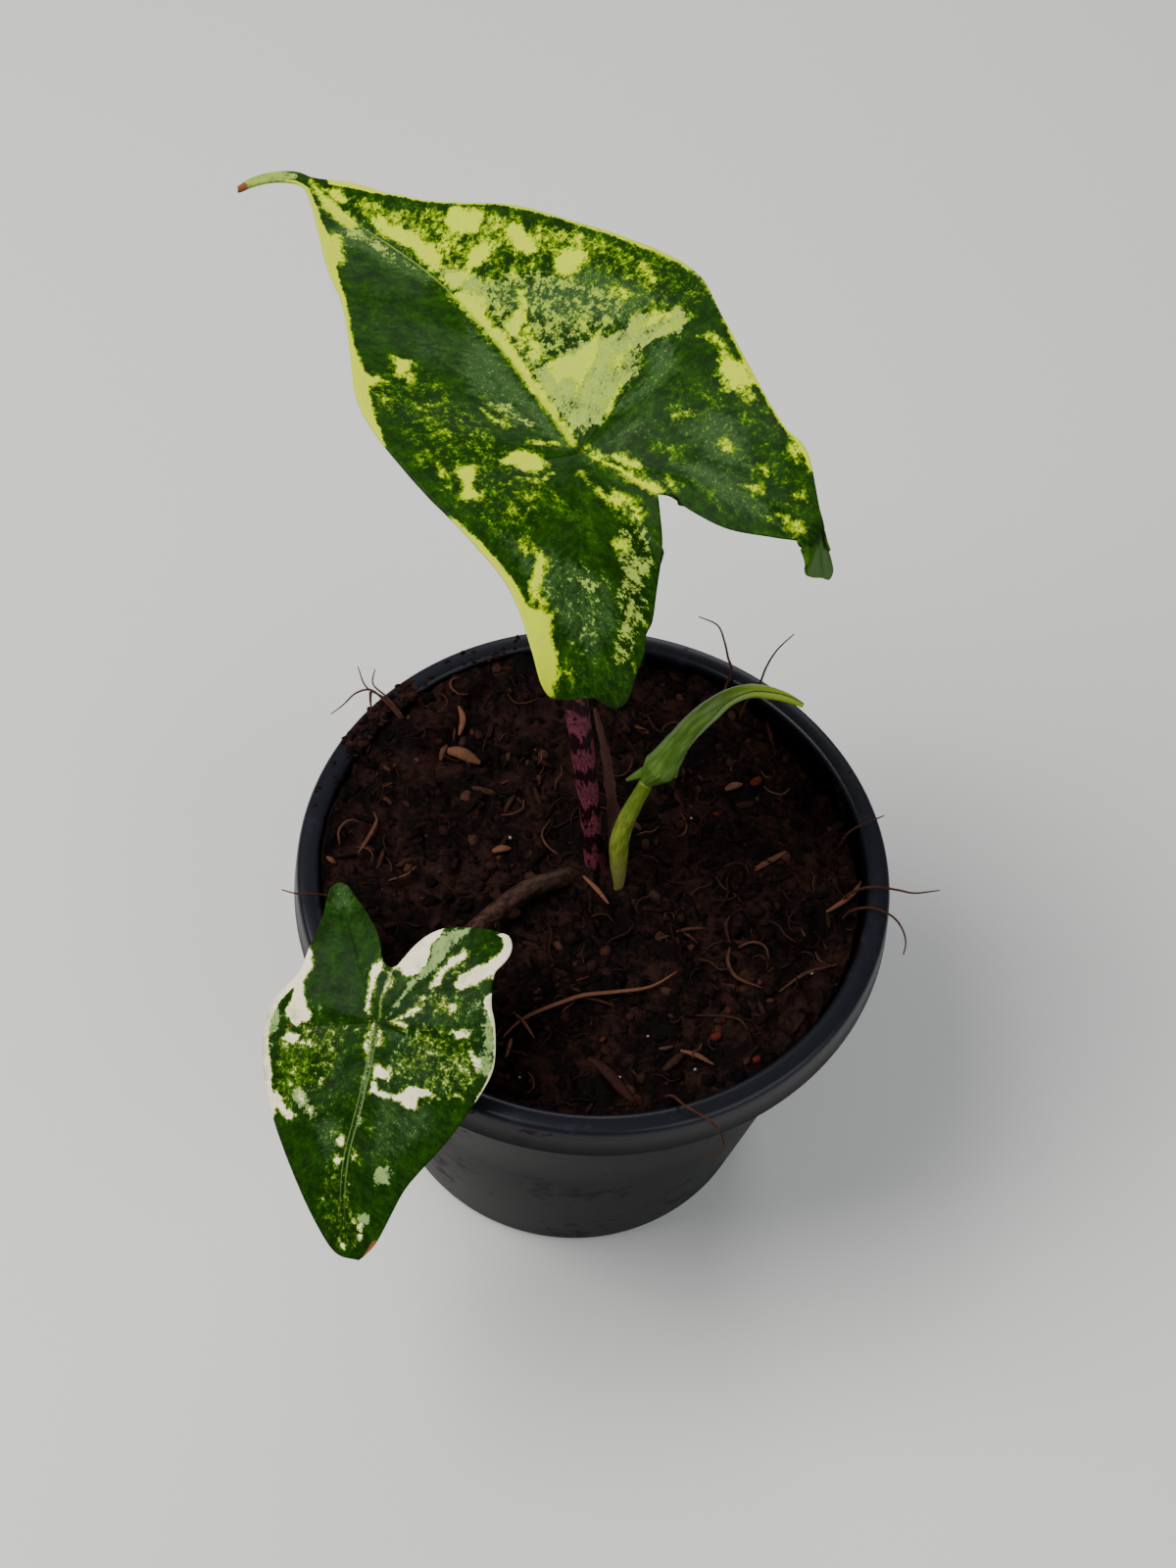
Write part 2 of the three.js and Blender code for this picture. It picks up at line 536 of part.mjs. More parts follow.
// The blade's middle surface at a flat point, with each lobe's end bent down round a radius
function bladePoint(leaf, half, x, y) {
  const point = new THREE.Vector3(x, y, bladeHeight(leaf, x, y));
  const end = half.vein[half.vein.length - 1];
  const out = new THREE.Vector3(end[0], end[1], 0).normalize();
  const { start, radius, angle } = half.fold;
  const past = x * out.x + y * out.y - start;
  if (past <= 0) return point;
  const limit = THREE.MathUtils.degToRad(angle);
  const turned = Math.min(past / radius, limit);
  const straight = past - turned * radius;
  const forward = radius * Math.sin(turned) + straight * Math.cos(turned) - past;
  const down = radius * (1 - Math.cos(turned)) + straight * Math.sin(turned);
  point.addScaledVector(out, forward);
  point.z -= down;
  return point;
}

// A flat line through a few points, read by its share of length, with its ends exactly at the end points
function flatCurve(points) {
  const corners = points.map(([x, y]) => new THREE.Vector3(x, y, 0));
  const curve = new THREE.CatmullRomCurve3(corners, false, 'centripetal');
  return (share) => {
    if (share <= 0) return corners[0].clone();
    if (share >= 1) return corners[corners.length - 1].clone();
    return curve.getPointAt(share);
  };
}

// Rows of flat points from the veins to the margin, for one half of a blade
function bladeRows(leaf, half) {
  const [midrib, vein, outer, inner] = [leaf.midrib, half.vein, half.outer, half.inner].map(flatCurve);
  const [fanStart, fanEnd] = half.fan;
  const front = [];
  const back = [];
  const count = leaf.rows;
  for (let i = 0; i <= count.midrib; i += 1) {
    const share = i / count.midrib;
    front.push([midrib(share), outer(fanStart * share)]);
  }
  for (let i = 1; i <= count.fan; i += 1) {
    const share = i / count.fan;
    front.push([midrib(1), outer(fanStart + (fanEnd - fanStart) * share)]);
  }
  for (let i = 1; i <= count.lobe; i += 1) {
    const share = i / count.lobe;
    front.push([vein(share), outer(fanEnd + (1 - fanEnd) * share)]);
  }
  for (let i = 0; i <= count.lobe; i += 1) {
    const share = i / count.lobe;
    back.push([vein(share), inner(share)]);
  }
  return [front, back];
}

// Where the columns of a blade lie between its veins and its margin
const COLUMNS = [0, 0.06, 0.2, 0.42, 0.68, 0.88, 1];

function buildBlade(name, leaf, colour) {
  const points = [];
  const triangles = [];
  for (const [half, hand] of [[leaf.left, 1], [leaf.right, -1]]) {
    bladeRows(leaf, half).forEach((rows, patch) => {
      const facing = patch === 0 ? hand : -hand;
      const surface = rows.map(([root, rim], row) => COLUMNS.map((share) => {
        const flat = root.clone().lerp(rim, share);
        const length = root.distanceTo(rim);
        const reach = length * share;
        const around = [[SLOPE_STEP, 0], [-SLOPE_STEP, 0], [0, SLOPE_STEP], [0, -SLOPE_STEP]];
        const read = ([dx, dy]) => bladePoint(leaf, half, flat.x + dx, flat.y + dy);
        const [east, west, north, south] = around.map(read);
        const normal = east.sub(west).cross(north.sub(south)).normalize();
        const ridge = RIDGE * Math.exp(-((reach / RIDGE_WIDTH) ** 2));
        const dip = patch === 0 ? VEIN_DIP * Math.min(1, length / SHORT_ROW) * Math.sin(Math.PI * share) : 0;
        const swell = -dip * Math.cos((2 * Math.PI * row) / VEIN_ROWS);
        const middle = bladePoint(leaf, half, flat.x, flat.y).addScaledVector(normal, swell);
        return { middle, normal, ridge };
      }));
      const width = COLUMNS.length;
      const first = points.length;
      for (const row of surface) {
        for (const { middle, normal } of row) {
          points.push(middle.clone().addScaledVector(normal, BLADE / 2).toArray());
        }
      }
      const under = points.length;
      for (const row of surface) {
        for (const { middle, normal, ridge } of row) {
          points.push(middle.clone().addScaledVector(normal, -BLADE / 2 - ridge).toArray());
        }
      }
      const face = (a, b, c) => triangles.push(facing > 0 ? [a, b, c] : [a, c, b]);
      for (let i = 0; i + 1 < surface.length; i += 1) {
        for (let j = 0; j + 1 < width; j += 1) {
          const [a, b] = [i * width + j, i * width + j + 1];
          const [c, d] = [a + width, b + width];
          face(first + a, first + d, first + c);
          face(first + a, first + b, first + d);
          face(under + a, under + c, under + d);
          face(under + a, under + d, under + b);
        }
        const [a, c] = [i * width + width - 1, (i + 1) * width + width - 1];
        face(first + a, under + a, under + c);
        face(first + a, under + c, first + c);
      }
    });
  }
  const geometry = fromPoints(points, triangles);
  const mesh = finish(name, geometry, colour, 0.4);
  const { degToRad } = THREE.MathUtils;
  mesh.position.set(...leaf.at);
  mesh.rotation.set(degToRad(leaf.bank), degToRad(-leaf.nose), degToRad(leaf.yaw), 'ZYX');
  return mesh;
}

// The rolled blade's section: a spiral whose free edge stands proud as a step along the spear
function buildSpear() {
  const sides = 12;
  const section = (share) => {
    const radius = along(SPEAR.radii, share);
    return circle(1, sides).map(([a, b], i) => {
      const grown = radius * (1 - SPEAR.lap / 2 + (SPEAR.lap * i) / (sides - 1));
      return [a * grown, b * grown];
    });
  };
  const spear = toSolid(sweep(SPEAR.line, section, SPEAR.rings));
  const lobes = SPEAR.lobes.map((lobe) => toSolid(stem(lobe, 8)));
  return finish('new_blade', toGeometry(wasm.Manifold.union([spear, ...lobes])), 0x6f8f2c, 0.45);
}

function buildPlant() {
  const plant = new THREE.Group();
  plant.add(finish('rootstock', weld(rootstock(0)), 0x5b4030, 0.9));
  plant.add(finish('large_stem', stem(LARGE_STEM), 0x7c4252, 0.55));
  plant.add(finish('small_stem', stem(SMALL_STEM), 0x8a7458, 0.6));
  plant.add(finish('new_stem', stem(NEW_STEM), 0x98a03c, 0.5));
  plant.add(finish('dry_sheath', sheath(0), 0x8f6a50, 0.85));
  plant.add(buildBlade('large_blade', LARGE_BLADE, 0x2f5a1e));
  plant.add(buildBlade('small_blade', SMALL_BLADE, 0x3c6430));
  plant.add(buildSpear());
  return plant;
}

const model = new THREE.Group();
model.add(buildPot());
model.add(buildSoil());
model.add(buildPlant());

export default model;
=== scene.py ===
import math
import random
from contextlib import contextmanager

import bpy
import numpy as np
from mathutils import Matrix, Vector


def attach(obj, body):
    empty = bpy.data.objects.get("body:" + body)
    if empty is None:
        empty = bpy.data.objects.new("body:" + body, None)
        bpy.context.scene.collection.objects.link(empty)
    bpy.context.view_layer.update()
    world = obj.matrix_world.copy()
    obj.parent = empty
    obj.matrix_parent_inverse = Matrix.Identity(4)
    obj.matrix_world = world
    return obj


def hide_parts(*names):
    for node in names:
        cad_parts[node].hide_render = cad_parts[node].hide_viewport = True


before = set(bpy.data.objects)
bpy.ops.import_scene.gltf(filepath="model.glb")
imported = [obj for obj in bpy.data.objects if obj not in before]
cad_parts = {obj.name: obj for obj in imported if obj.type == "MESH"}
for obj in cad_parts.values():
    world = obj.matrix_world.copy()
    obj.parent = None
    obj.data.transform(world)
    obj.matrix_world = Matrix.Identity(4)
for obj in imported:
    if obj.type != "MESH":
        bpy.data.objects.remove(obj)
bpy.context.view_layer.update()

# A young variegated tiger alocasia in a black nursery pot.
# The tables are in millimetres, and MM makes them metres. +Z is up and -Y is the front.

MM = 0.001
TURN = 2 * math.pi

# The photograph's camera, fitted to the pot's lip and sides: its place, its degrees down and of roll, its
# lens and its sensor
CAMERA_PLACE = (-3, -235, 468.3)
CAMERA_TILT = 55.8
CAMERA_ROLL = 6
CAMERA_LENS = 50
CAMERA_SENSOR = 36
# The place that the lamps face
LIT_PLACE = (0, 0, 120)

# The pot and what fills it, as the solids have them
POT_HEIGHT = 95
SOIL_LEVEL = 89
# Heaps and dips of the soil: place, rise and spread
HEAPS = [(-50, 27, 4.6, 10), (-57, 1, 4.4, 11), (-54, -17, 1.6, 7), (-34, 45, 4, 11), (-8, 56, 4.4, 12),
         (24, 50, 2.4, 9), (44, 34, -2, 10), (55, 1, 1.2, 8)]
# The inner wall, and the outline that the pot is turned from: radius and height
INSIDE_FOOT = (41.1, 4.4)
INSIDE_TOP = (55.5, 93.6)
POT_PROFILE = [
    (0.3, 0), (20.6, 0), (21.4, 1.2), (22, 1.6), (35, 1.6), (35.6, 1.2), (36.4, 0.1), (37, 0), (41, 0),
    (41.6, 0.15), (42, 0.6), (42.6, 2.5), (49.7, 48), (56.8, 93.4), (57.2, 93.8), (58.6, 93.8), (58.9, 93.4),
    (59.7, 87), (60, 86.7), (60.6, 86.7), (60.9, 87.1), (60.85, 87.9), (60.4, 92), (60.2, 93.6), (60, 94.3),
    (59.6, 94.8), (59, 95), (57, 95), (56.4, 94.85), (55.9, 94.5), (55.6, 94), (55.5, 93.4), (52, 72),
    (41.1, 4.4), (40.7, 3.2), (40, 2.8), (0.3, 2.8),
]
# The holes in its base: how many, and the radii of their ring and of each
DRAIN_HOLES = 8
DRAIN_RING = 29
DRAIN_RADIUS = 3.2

# A blade lies in its own frame: x to the tip, y to its left, z up, with the junction of its veins at 0.
# Its rows start along the midrib, at the junction, and along the vein of each lobe: rows counts them there,
# and fine is how many the grid has. Yaw, nose and bank are degrees. Each half has the slopes of its surface,
# the shares of its outer edge between which the rows start at the junction (fan), the place, radius and
# degrees of its fold, and its edges.
LARGE_BLADE = {
    "at": (-10.6, 22.5, 190), "yaw": 130, "nose": 0, "bank": -3, "arch": 550,
    "rows": (18, 4, 8), "fine": (126, 56, 72), "columns": 36, "thickness": 0.5, "ridge": 0.9,
    "midrib": [(96, 12.8), (96.4, 9), (95.6, 4.6), (92.5, 1.2), (86, 0.4), (74, -0.2), (54, -2.7), (32, -3),
               (11, -1.3), (0, 0)],
    "left": {
        "rise": 0.22, "side": 150, "lobe": 75, "fan": (0.57, 0.77), "fold": (39.5, 5.5, 88),
        "outer": [(96, 12.8), (95.3, 9), (94, 4.8), (91, 2), (84, 3.6), (77, 6.5), (64, 11.7), (52, 15.5),
                  (40, 21.3), (30, 26), (21, 27.8), (6, 28), (-8, 27), (-18, 26.5), (-28.8, 29.2),
                  (-33.4, 30.5), (-35.2, 30.3), (-36.3, 29.4), (-37.3, 27.4), (-38.7, 23.6)],
        "inner": [(-15.5, -5.6), (-18.5, -4), (-23, -1.3), (-27.8, 3.2), (-33.1, 8.1), (-34.4, 10.2),
                  (-37, 12.4), (-39, 15.3), (-41.2, 18.5), (-41.6, 20), (-41.4, 21.3), (-40.6, 22.2),
                  (-38.7, 23.6)],
        "vein": [(0, 0), (-14, 9), (-28, 18.2), (-38.7, 23.6)],
    },
    "right": {
        "rise": 0.42, "side": 300, "lobe": 120, "fan": (0.51, 0.68), "fold": (42.8, 1.8, 80),
        "outer": [(96, 12.8), (97.4, 9), (97.3, 4.6), (95, 0.6), (91, -1), (84, -4.7), (74, -8.4),
                  (65, -12.6), (52, -21.4), (40, -26.6), (30, -30.7), (14, -34.9), (4, -32.8), (-8, -30.1),
                  (-15, -28.8), (-21.2, -28.1), (-24.7, -28.7), (-27.5, -28.2), (-32.6, -25.9),
                  (-36.7, -24.2), (-39.1, -24.4), (-41.2, -25.9), (-43.7, -29.2), (-45.6, -30.9),
                  (-48, -32.6), (-48.4, -31.4), (-46.2, -26.5)],
        "inner": [(-15.5, -5.6), (-17.1, -6.8), (-21.8, -8.2), (-28, -11), (-34.1, -16.1), (-36.6, -18.5),
                  (-38.2, -19.8), (-39.7, -19.1), (-41.4, -17.9), (-42.6, -19), (-44.1, -21.7),
                  (-46.2, -26.5)],
        "vein": [(0, 0), (-14, -9.5), (-28, -17.6), (-39.6, -22.4), (-46.2, -26.5)],
    },
}
SMALL_BLADE = {
    "at": (-37.6, -46.1, 104), "yaw": 266, "nose": -27, "bank": 16, "arch": 118,
    "rows": (14, 4, 6), "fine": (84, 48, 48), "columns": 32, "thickness": 0.5, "ridge": 0.8,
    "midrib": [(44.2, 1.5), (38, -2), (26, -2.6), (14, -0.8), (0, 0)],
    "left": {
        "rise": 0.02, "side": 74, "lobe": 47, "fan": (0.5, 0.72), "fold": (24.5, 6, 60),
        "outer": [(44.2, 1.5), (41, 4.4), (34, 7.6), (28.5, 10.3), (20, 16.3), (11.8, 20.7), (5.7, 23),
                  (2.4, 23.1), (-3.5, 22), (-6.6, 20.8), (-11, 20), (-12.9, 20), (-14.8, 21.1),
                  (-16.5, 21.6), (-18.6, 21.3), (-20.2, 20.1), (-20.4, 18.8)],
        "inner": [(-10.5, 0.6), (-10.9, 1.4), (-12.6, 2.4), (-15.1, 3.7), (-17.5, 5.6), (-19.2, 8),
                  (-20, 10.6), (-20.4, 13.9), (-20.6, 17.1), (-20.4, 18.8)],
        "vein": [(0, 0), (-9, 7.6), (-16.5, 14.6), (-20.4, 18.8)],
    },
    "right": {
        "rise": 0.09, "side": 78, "lobe": 46, "fan": (0.5, 0.7), "fold": (26, 8, 40),
        "outer": [(44.2, 1.5), (43.8, -3), (39, -7.5), (30, -13.2), (20.7, -18.5), (11.8, -22.2),
                  (4.8, -23.3), (0.7, -22.8), (-2.3, -21.5), (-5.4, -18.9), (-8, -17.6), (-11.8, -17.2),
                  (-17.8, -16.6), (-21.7, -17.1), (-23.9, -17.7), (-25.2, -17.3), (-25.6, -16.4)],
        "inner": [(-10.5, 0.6), (-11, -0.8), (-12.5, -2.1), (-14.2, -2.8), (-16.8, -4.4), (-18.9, -6.4),
                  (-21, -8.7), (-23, -11.4), (-24.9, -14), (-25.6, -16.4)],
        "vein": [(0, 0), (-9, -5.2), (-18, -11.2), (-25.6, -16.4)],
    },
}

# Side veins stand on every fourth row, and the finish takes the rows to be 5 mm apart
VEIN_ROWS = 4
ROW_PITCH = 5
# What the finish adds to a place, so that the two halves and the backs of the lobes get their own noise
HAND_SHIFT = 50
BEHIND_ROWS = 300
BEHIND_VEIN = 9

# Markings of the large blade: a weight, then the corners of the shape in the blade's own frame.
# A weight of 1 or more fills the shape, and a smaller one breaks it into specks, down to none at BARE.
BARE = -0.35
STRIPE_WEIGHT = 1.2
LARGE_YELLOW = [
    (1.1, [(90, 0.3), (84, 1.6), (76, 2.6), (72.5, 2), (72.5, -0.3), (80, -0.3), (90, -0.2)]),
    (1.0, [(88, -0.6), (84, -0.7), (80, -1.2), (79, -3.2), (83, -2.8), (87, -1.2)]),
    (0.9, [(73, 5.8), (70, 8.5), (66, 10), (63, 9.6), (65, 7), (68, 5.6), (71, 5.5)]),
    (0.32, [(79, -1), (72, -1.5), (50, -3.2), (46, -8), (44, -15), (34, -20), (30, -26), (20, -28),
            (20, -31), (34, -28), (48, -21), (60, -14), (70, -8), (79, -4)]),
    (0.12, [(50, -3.2), (30, -3), (10, -1.5), (3, -3), (3, -12), (6, -18), (9, -22), (5, -27), (5, -30),
            (20, -31), (30, -27), (36, -20), (46, -13)]),
    (1.1, [(71.5, -2.2), (67, -2), (63, -3.2), (60, -4), (57, -3.4), (52, -3.6), (50.5, -5), (53, -7.6),
           (56, -7), (60, -6.6), (63, -6.4), (66, -6.2), (68, -4.6), (71, -3.8)]),
    (1.1, [(59.5, -11.5), (55, -11), (52.5, -13), (53, -16.5), (56, -16.8), (59, -15.6), (60.5, -13.5)]),
    (0.9, [(43.5, -16.6), (40, -15), (38.4, -13), (39.6, -13), (41.6, -14.4), (43.8, -15.4)]),
    (1.0, [(50, -3.4), (44, -4), (46, -9), (45, -11.5), (48, -13.5), (50.5, -13), (49.5, -10),
           (47.5, -7.5)]),
    (1.0, [(46, -16.2), (41, -17), (39, -19), (43, -20.5), (49.5, -19.6), (49, -18.2)]),
    (1.1, [(36.5, -19), (32, -18.4), (31, -21), (32, -24.5), (34.5, -23.5), (36.2, -21.6)]),
    (1.0, [(45, -2.8), (30, -2.4), (29, -4.4), (36, -5), (40, -6.6), (44, -5.4)]),
    (0.9, [(30, -5), (27.5, -5.2), (28, -9), (31, -10.5), (35, -12.4), (36.5, -11), (33, -9.6)]),
    (0.9, [(37, -25), (34, -24.6), (36, -26.4), (39.5, -27)]),
    (0.95, [(19.6, -6), (17, -5.2), (14, -5.2), (14, -7), (11, -7.4), (10, -5.4), (7.2, -2.6), (7.6, -4.6),
            (10, -7.7), (11.4, -10.2), (13.8, -13.5), (16, -15.5), (17.8, -16), (17.4, -13.2), (17.6, -10.7),
            (19.2, -8.6)]),
    (0.9, [(6.4, -13), (4.6, -13.6), (3.6, -11.5), (2.9, -9.2), (2.7, -7), (4, -8.4), (5, -10.6)]),
    (0.6, [(9, -20), (8.4, -17), (6.8, -15.6), (6.4, -13.4), (9, -13), (11, -15.4), (11, -19)]),
    (0.6, [(27, -5), (22, -4), (20, -6.5), (24, -8), (29, -9.5)]),
    (1.5, [(32, -3.2), (20, -2.1), (12, -1.3), (5, -0.6), (2, -0.2), (2, -0.7), (5, -1.3), (12, -2.2),
           (20, -3.2), (32, -4.6)]),
    (0.5, [(10, -27), (8, -28.4), (6.4, -28), (6.4, -26.6), (9, -25.6)]),
    (0.9, [(12, -21.5), (9, -26), (11, -27), (14, -24)]),
    (0.8, [(23, -22), (17.5, -22), (18, -24.5), (22, -24)]),
    (0.7, [(21, -30), (17, -30), (17, -27.6), (20, -27.8)]),
    (0.1, [(34, -28), (28, -31), (22, -33.5), (8, -34), (8, -30), (22, -29.5), (30, -26.5)]),
    (0.8, [(-1, -28.6), (-2, -27.5), (-6, -24.4), (-9, -24), (-11.4, -27), (-11, -29), (-6, -29.4),
           (2, -29.6), (2.6, -28)]),
    (0.6, [(-9, -25), (-14, -26), (-14, -27.4), (-9, -28)]),
    (0.65, [(-15.5, -18), (-19, -18.4), (-18, -20), (-15.5, -19.6)]),
    (0.8, [(-25, -17.6), (-27.6, -18.6), (-26, -19.4)]),
    (0.8, [(-22, -20.4), (-25, -21.4), (-23.6, -22.2)]),
    (0.85, [(-30, -22.6), (-32.4, -23.4), (-31, -24.4)]),
    (0.7, [(-24, -26.4), (-29, -26.8), (-28, -28), (-23, -28)]),
    (0.65, [(-31, -17.6), (-38, -20.6), (-36, -21.6), (-31, -19.4)]),
    (0.95, [(-6.3, -15.4), (-7.6, -16.8), (-8.6, -18.6), (-8, -18.8), (-6.8, -17.2)]),
    (-0.08, [(-2, -8), (-15, -6), (-38, -20), (-30, -28), (-5, -30)]),
    (0.8, [(-3, -3), (-10, -5), (-9.6, -7), (-5, -5.4)]),
    (0.7, [(-12, -7), (-17, -8), (-15, -9.4)]),
    (0.85, [(36, 16), (33.5, 17.4), (30.5, 16.8), (31, 14.4), (32.6, 13)]),
    (1.1, [(33, 20.4), (33, 22.6), (31, 23), (31, 20)]),
    (0.3, [(31, 20), (23, 20.4), (22.6, 22.2), (27, 23.4), (31, 23)]),
    (0.3, [(30.5, 13), (27, 14.6), (29, 17.4), (31.5, 16)]),
    (1.2, [(8, 20.4), (4, 21.4), (2.4, 22.8), (0.8, 23.4), (-0.6, 22.6), (-1, 19.8), (3, 20), (5, 18.2),
           (6.6, 18)]),
    (0.95, [(8.8, 22.6), (7, 23.8), (6, 23), (7.6, 22)]),
    (0.1, [(24, 16), (14, 19), (14, 17), (22, 14)]),
    (1.15, [(4.8, 13.4), (3.2, 12.8), (2.6, 11.2), (0.8, 10.6), (0, 9), (-0.3, 6.6), (2.2, 6.6), (4.2, 7),
            (5, 9.6)]),
    (0.95, [(6.2, 7.4), (5.2, 6.6), (4.2, 3.6), (3.6, 2), (4.6, 2.2), (5.8, 4.6)]),
    (1.1, [(0.5, 13), (-1.6, 12), (-2.9, 9.6), (-2.6, 7), (-2, 9.4), (-1.2, 11)]),
    (0.35, [(-4, 18), (-8, 17.6), (-7.6, 15.6), (-4, 16)]),
    (0.7, [(-2.6, 12.6), (-6, 13.6), (-5, 11.6)]),
    (0.15, [(20.5, 5.5), (20, 8.6), (17, 9), (13, 8.2), (10.5, 6.6), (11, 5.2), (16, 4.6)]),
    (1.1, [(17, 9.2), (14, 8.7), (11, 7.7), (11, 7.3), (14, 8.1), (17, 8.6)]),
    (0.03, [(35, 12), (35, 22), (10, 26), (-10, 24), (-10, 8), (10, 10)]),
    (1.1, [(-14, 17.4), (-17, 18.2), (-18.6, 20), (-20, 21.2), (-23, 23.4), (-22, 24.4), (-18, 22),
           (-15.6, 19.4), (-13.4, 18)]),
    (0.9, [(-12, 20.4), (-14, 20.8), (-14.4, 19.2), (-12.4, 18.8)]),
    (1.2, [(-8.6, 2.1), (-10.6, 1.7), (-13.2, 0.7), (-13.2, 0.2), (-10.4, 1.1), (-8.6, 1.5)]),
    (0.25, [(-11, 2), (-17, 3), (-20, 1.6), (-18, -2), (-14, -1.4)]),
    (0.7, [(-33.6, 26), (-35.4, 25.6), (-35, 24.6), (-33.6, 24.8)]),
    (0.6, [(-36.6, 16.4), (-38.6, 15.8), (-38, 14.8), (-36.4, 15.4)]),
    (0.02, [(-14, 2), (-20, -1), (-24, 0), (-30, 5.6), (-36, 12.4), (-39, 17), (-36, 19), (-30, 14),
            (-25, 9.4), (-20, 7.4), (-16, 5)]),
    (0.4, [(-8, 2.4), (-12, 1.6), (-18, 0.4), (-19, -2), (-14, -3), (-10, -1)]),
    (0.85, [(-18, 3.4), (-20.6, 4.4), (-20, 6.6), (-18.4, 6)]),
    (1.0, [(-3.6, 2.4), (-6.4, 2.6), (-6, 2), (-3.6, 1.8)]),
    (1.2, [(0, -1.2), (-5, -1.7), (-10, -3.8), (-15.5, -5), (-16.5, -6.2), (-15, -6.2), (-9.6, -4.6),
           (-5, -2.3), (0, -1.7)]),
    (1.4, [(-22, 26), (-23.7, 24.9), (-25.1, 23.1), (-26.9, 24.2), (-28.9, 26), (-31, 26.2), (-32.8, 26.6),
           (-33.8, 27.9), (-34.2, 29.2), (-34.9, 30.3), (-35.4, 31.6), (-30, 31), (-22, 29)]),
]
# Pale green
LARGE_PALE = [
    (1.0, [(100, 14), (99, 2), (93, 1), (92, 6), (90, 14)]),
    (0.52, [(72.5, 5.8), (69, 5.2), (67.5, 3.2), (63, 1.4), (58, 0.6), (54, -1.6), (50, -2.9), (60, -2.2),
            (72, -1.2), (73, 2)]),
    (0.4, [(48, -3.2), (30, -3), (20, -2), (16, -12), (14, -18), (16, -23), (24, -24), (33, -19), (40, -14),
           (46, -7)]),
    (1.1, [(52, -4), (46, -3.4), (38, -4.6), (36, -5.6), (40, -7.4), (46, -8), (50, -6.4)]),
    (0.8, [(20, -2.4), (8, -1.8), (2, -1.9), (1.7, -4.2), (2.3, -6.9), (3.2, -11.5), (4.1, -13.6),
           (4.6, -17), (6.6, -17.2), (8.4, -19.2), (8, -20.7), (8.1, -23.6), (7, -25.2), (5, -25.9),
           (6.1, -29.4), (11.2, -28.5), (12.6, -26), (15.6, -23), (14.4, -19), (14.8, -16.6), (18, -16),
           (20, -9)]),
    (0.36, [(20.5, 5.5), (20, 8.6), (17, 9), (13, 8.2), (10.5, 6.6), (8.5, 4.2), (9.5, 2.6), (13, 3),
            (17, 3.2)]),
    (0.3, [(-25, 23), (-31, 23.4), (-30, 20), (-26, 20.6)]),
    (1.0, [(17, 4.6), (15, 4.8), (15, 3), (16.4, 3)]),
    (1.1, [(11, 4.2), (9, 4.2), (9.2, 2.4), (10.8, 2.6)]),
    (0.22, [(-4, 24), (-10, 22), (-20, 22.6), (-28, 24), (-34, 24), (-36, 20), (-30, 14), (-24, 9),
            (-18, 12), (-14, 17), (-10, 18)]),
    (0.5, [(-21, 17), (-26, 15), (-25, 12), (-21, 12.6)]),
    (0.48, [(-14, 2), (-20, -1), (-24, 0), (-30, 5.6), (-36, 12.4), (-39, 17), (-36, 19), (-30, 14),
            (-25, 9.4), (-20, 7.4), (-16, 5)]),
]
# Where a grey sheen is painted on the green: a painted reflection of the lamps
LARGE_PAINTED_SHEEN = [
    (1.0, [(40, -2.4), (30, 3), (24, 4.4), (16, 3.6), (8, 3.6), (2, 2.4), (0, 0), (10, -1)]),
    (0.7, [(32, 0), (30, 7), (24, 9), (14, 8), (8, 6), (10, 2)]),
    (0.4, [(46, 8), (34, 12), (26, 8), (34, 4)]),
    (1.0, [(0, 1), (-5, 0.4), (-5, -1), (-1, -1)]),
    (0.6, [(3, 27), (-6, 23), (-14, 16), (-24, 10), (-32, 12), (-36, 22), (-28, 24), (-10, 24)]),
    (0.7, [(-2, -4), (-5, -6), (-6, -12), (-2, -13), (0, -8)]),
    (0.8, [(-8, -14), (-20, -15), (-24, -20), (-16, -24), (-9, -22)]),
    (1.0, [(-12, -10), (-24, -12), (-34, -18), (-28, -19), (-16, -15)]),
    (0.9, [(45, -8), (38, -5), (24, -12), (14, -20), (14, -29), (30, -24), (36, -14)]),
    (0.9, [(3.5, -9), (1, -8), (-1, -16), (0, -22), (8, -25), (8, -20), (4, -17)]),
    (0.6, [(20, -29), (8, -30), (6, -27), (14, -26)]),
    (0.8, [(70, -4), (60, -6), (60, -9), (70, -7)]),
    (1.3, [(74, 6.5), (68, 6), (66.5, 3.6), (60, 2), (50, -1), (50, -3), (60, -2.4), (74, -1)]),
]
# Bright green, then dry brown, then dark touches
LARGE_FRESH = [
    (0.45, [(-31, 26), (-31.5, 22), (-32, 19), (-35, 17.6), (-37, 14), (-41, 14), (-43, 20), (-41, 25),
            (-38, 29), (-35, 32), (-33, 29)]),
    (0.5, [(2, -17), (-8, -13), (-8, -18), (-6, -22), (0, -22)]),
    (0.6, [(-16, -8), (-34, -20), (-36, -24), (-24, -17), (-14, -11)]),
    (0.6, [(2, 13), (-6, 8), (-14, 4), (-18, 8), (-10, 14), (-4, 18)]),
    (0.5, [(88, -2), (74, -6), (60, -12), (60, -16), (76, -9)]),
    (1.6, [(-39, -16), (-50, -22), (-52, -36), (-43, -33), (-40, -26)]),
]
LARGE_BROWN = [(1.2, [(99, 16), (93, 16), (93, 10.5), (99, 11)])]
LARGE_DARK = [
    (1.2, [(11, 5), (10.2, 6.2), (9.2, 5.8), (9.6, 4.8)]),
    (1.0, [(9.2, -4.6), (8.8, -4.2), (8.6, -4.7), (9, -5)]),
]
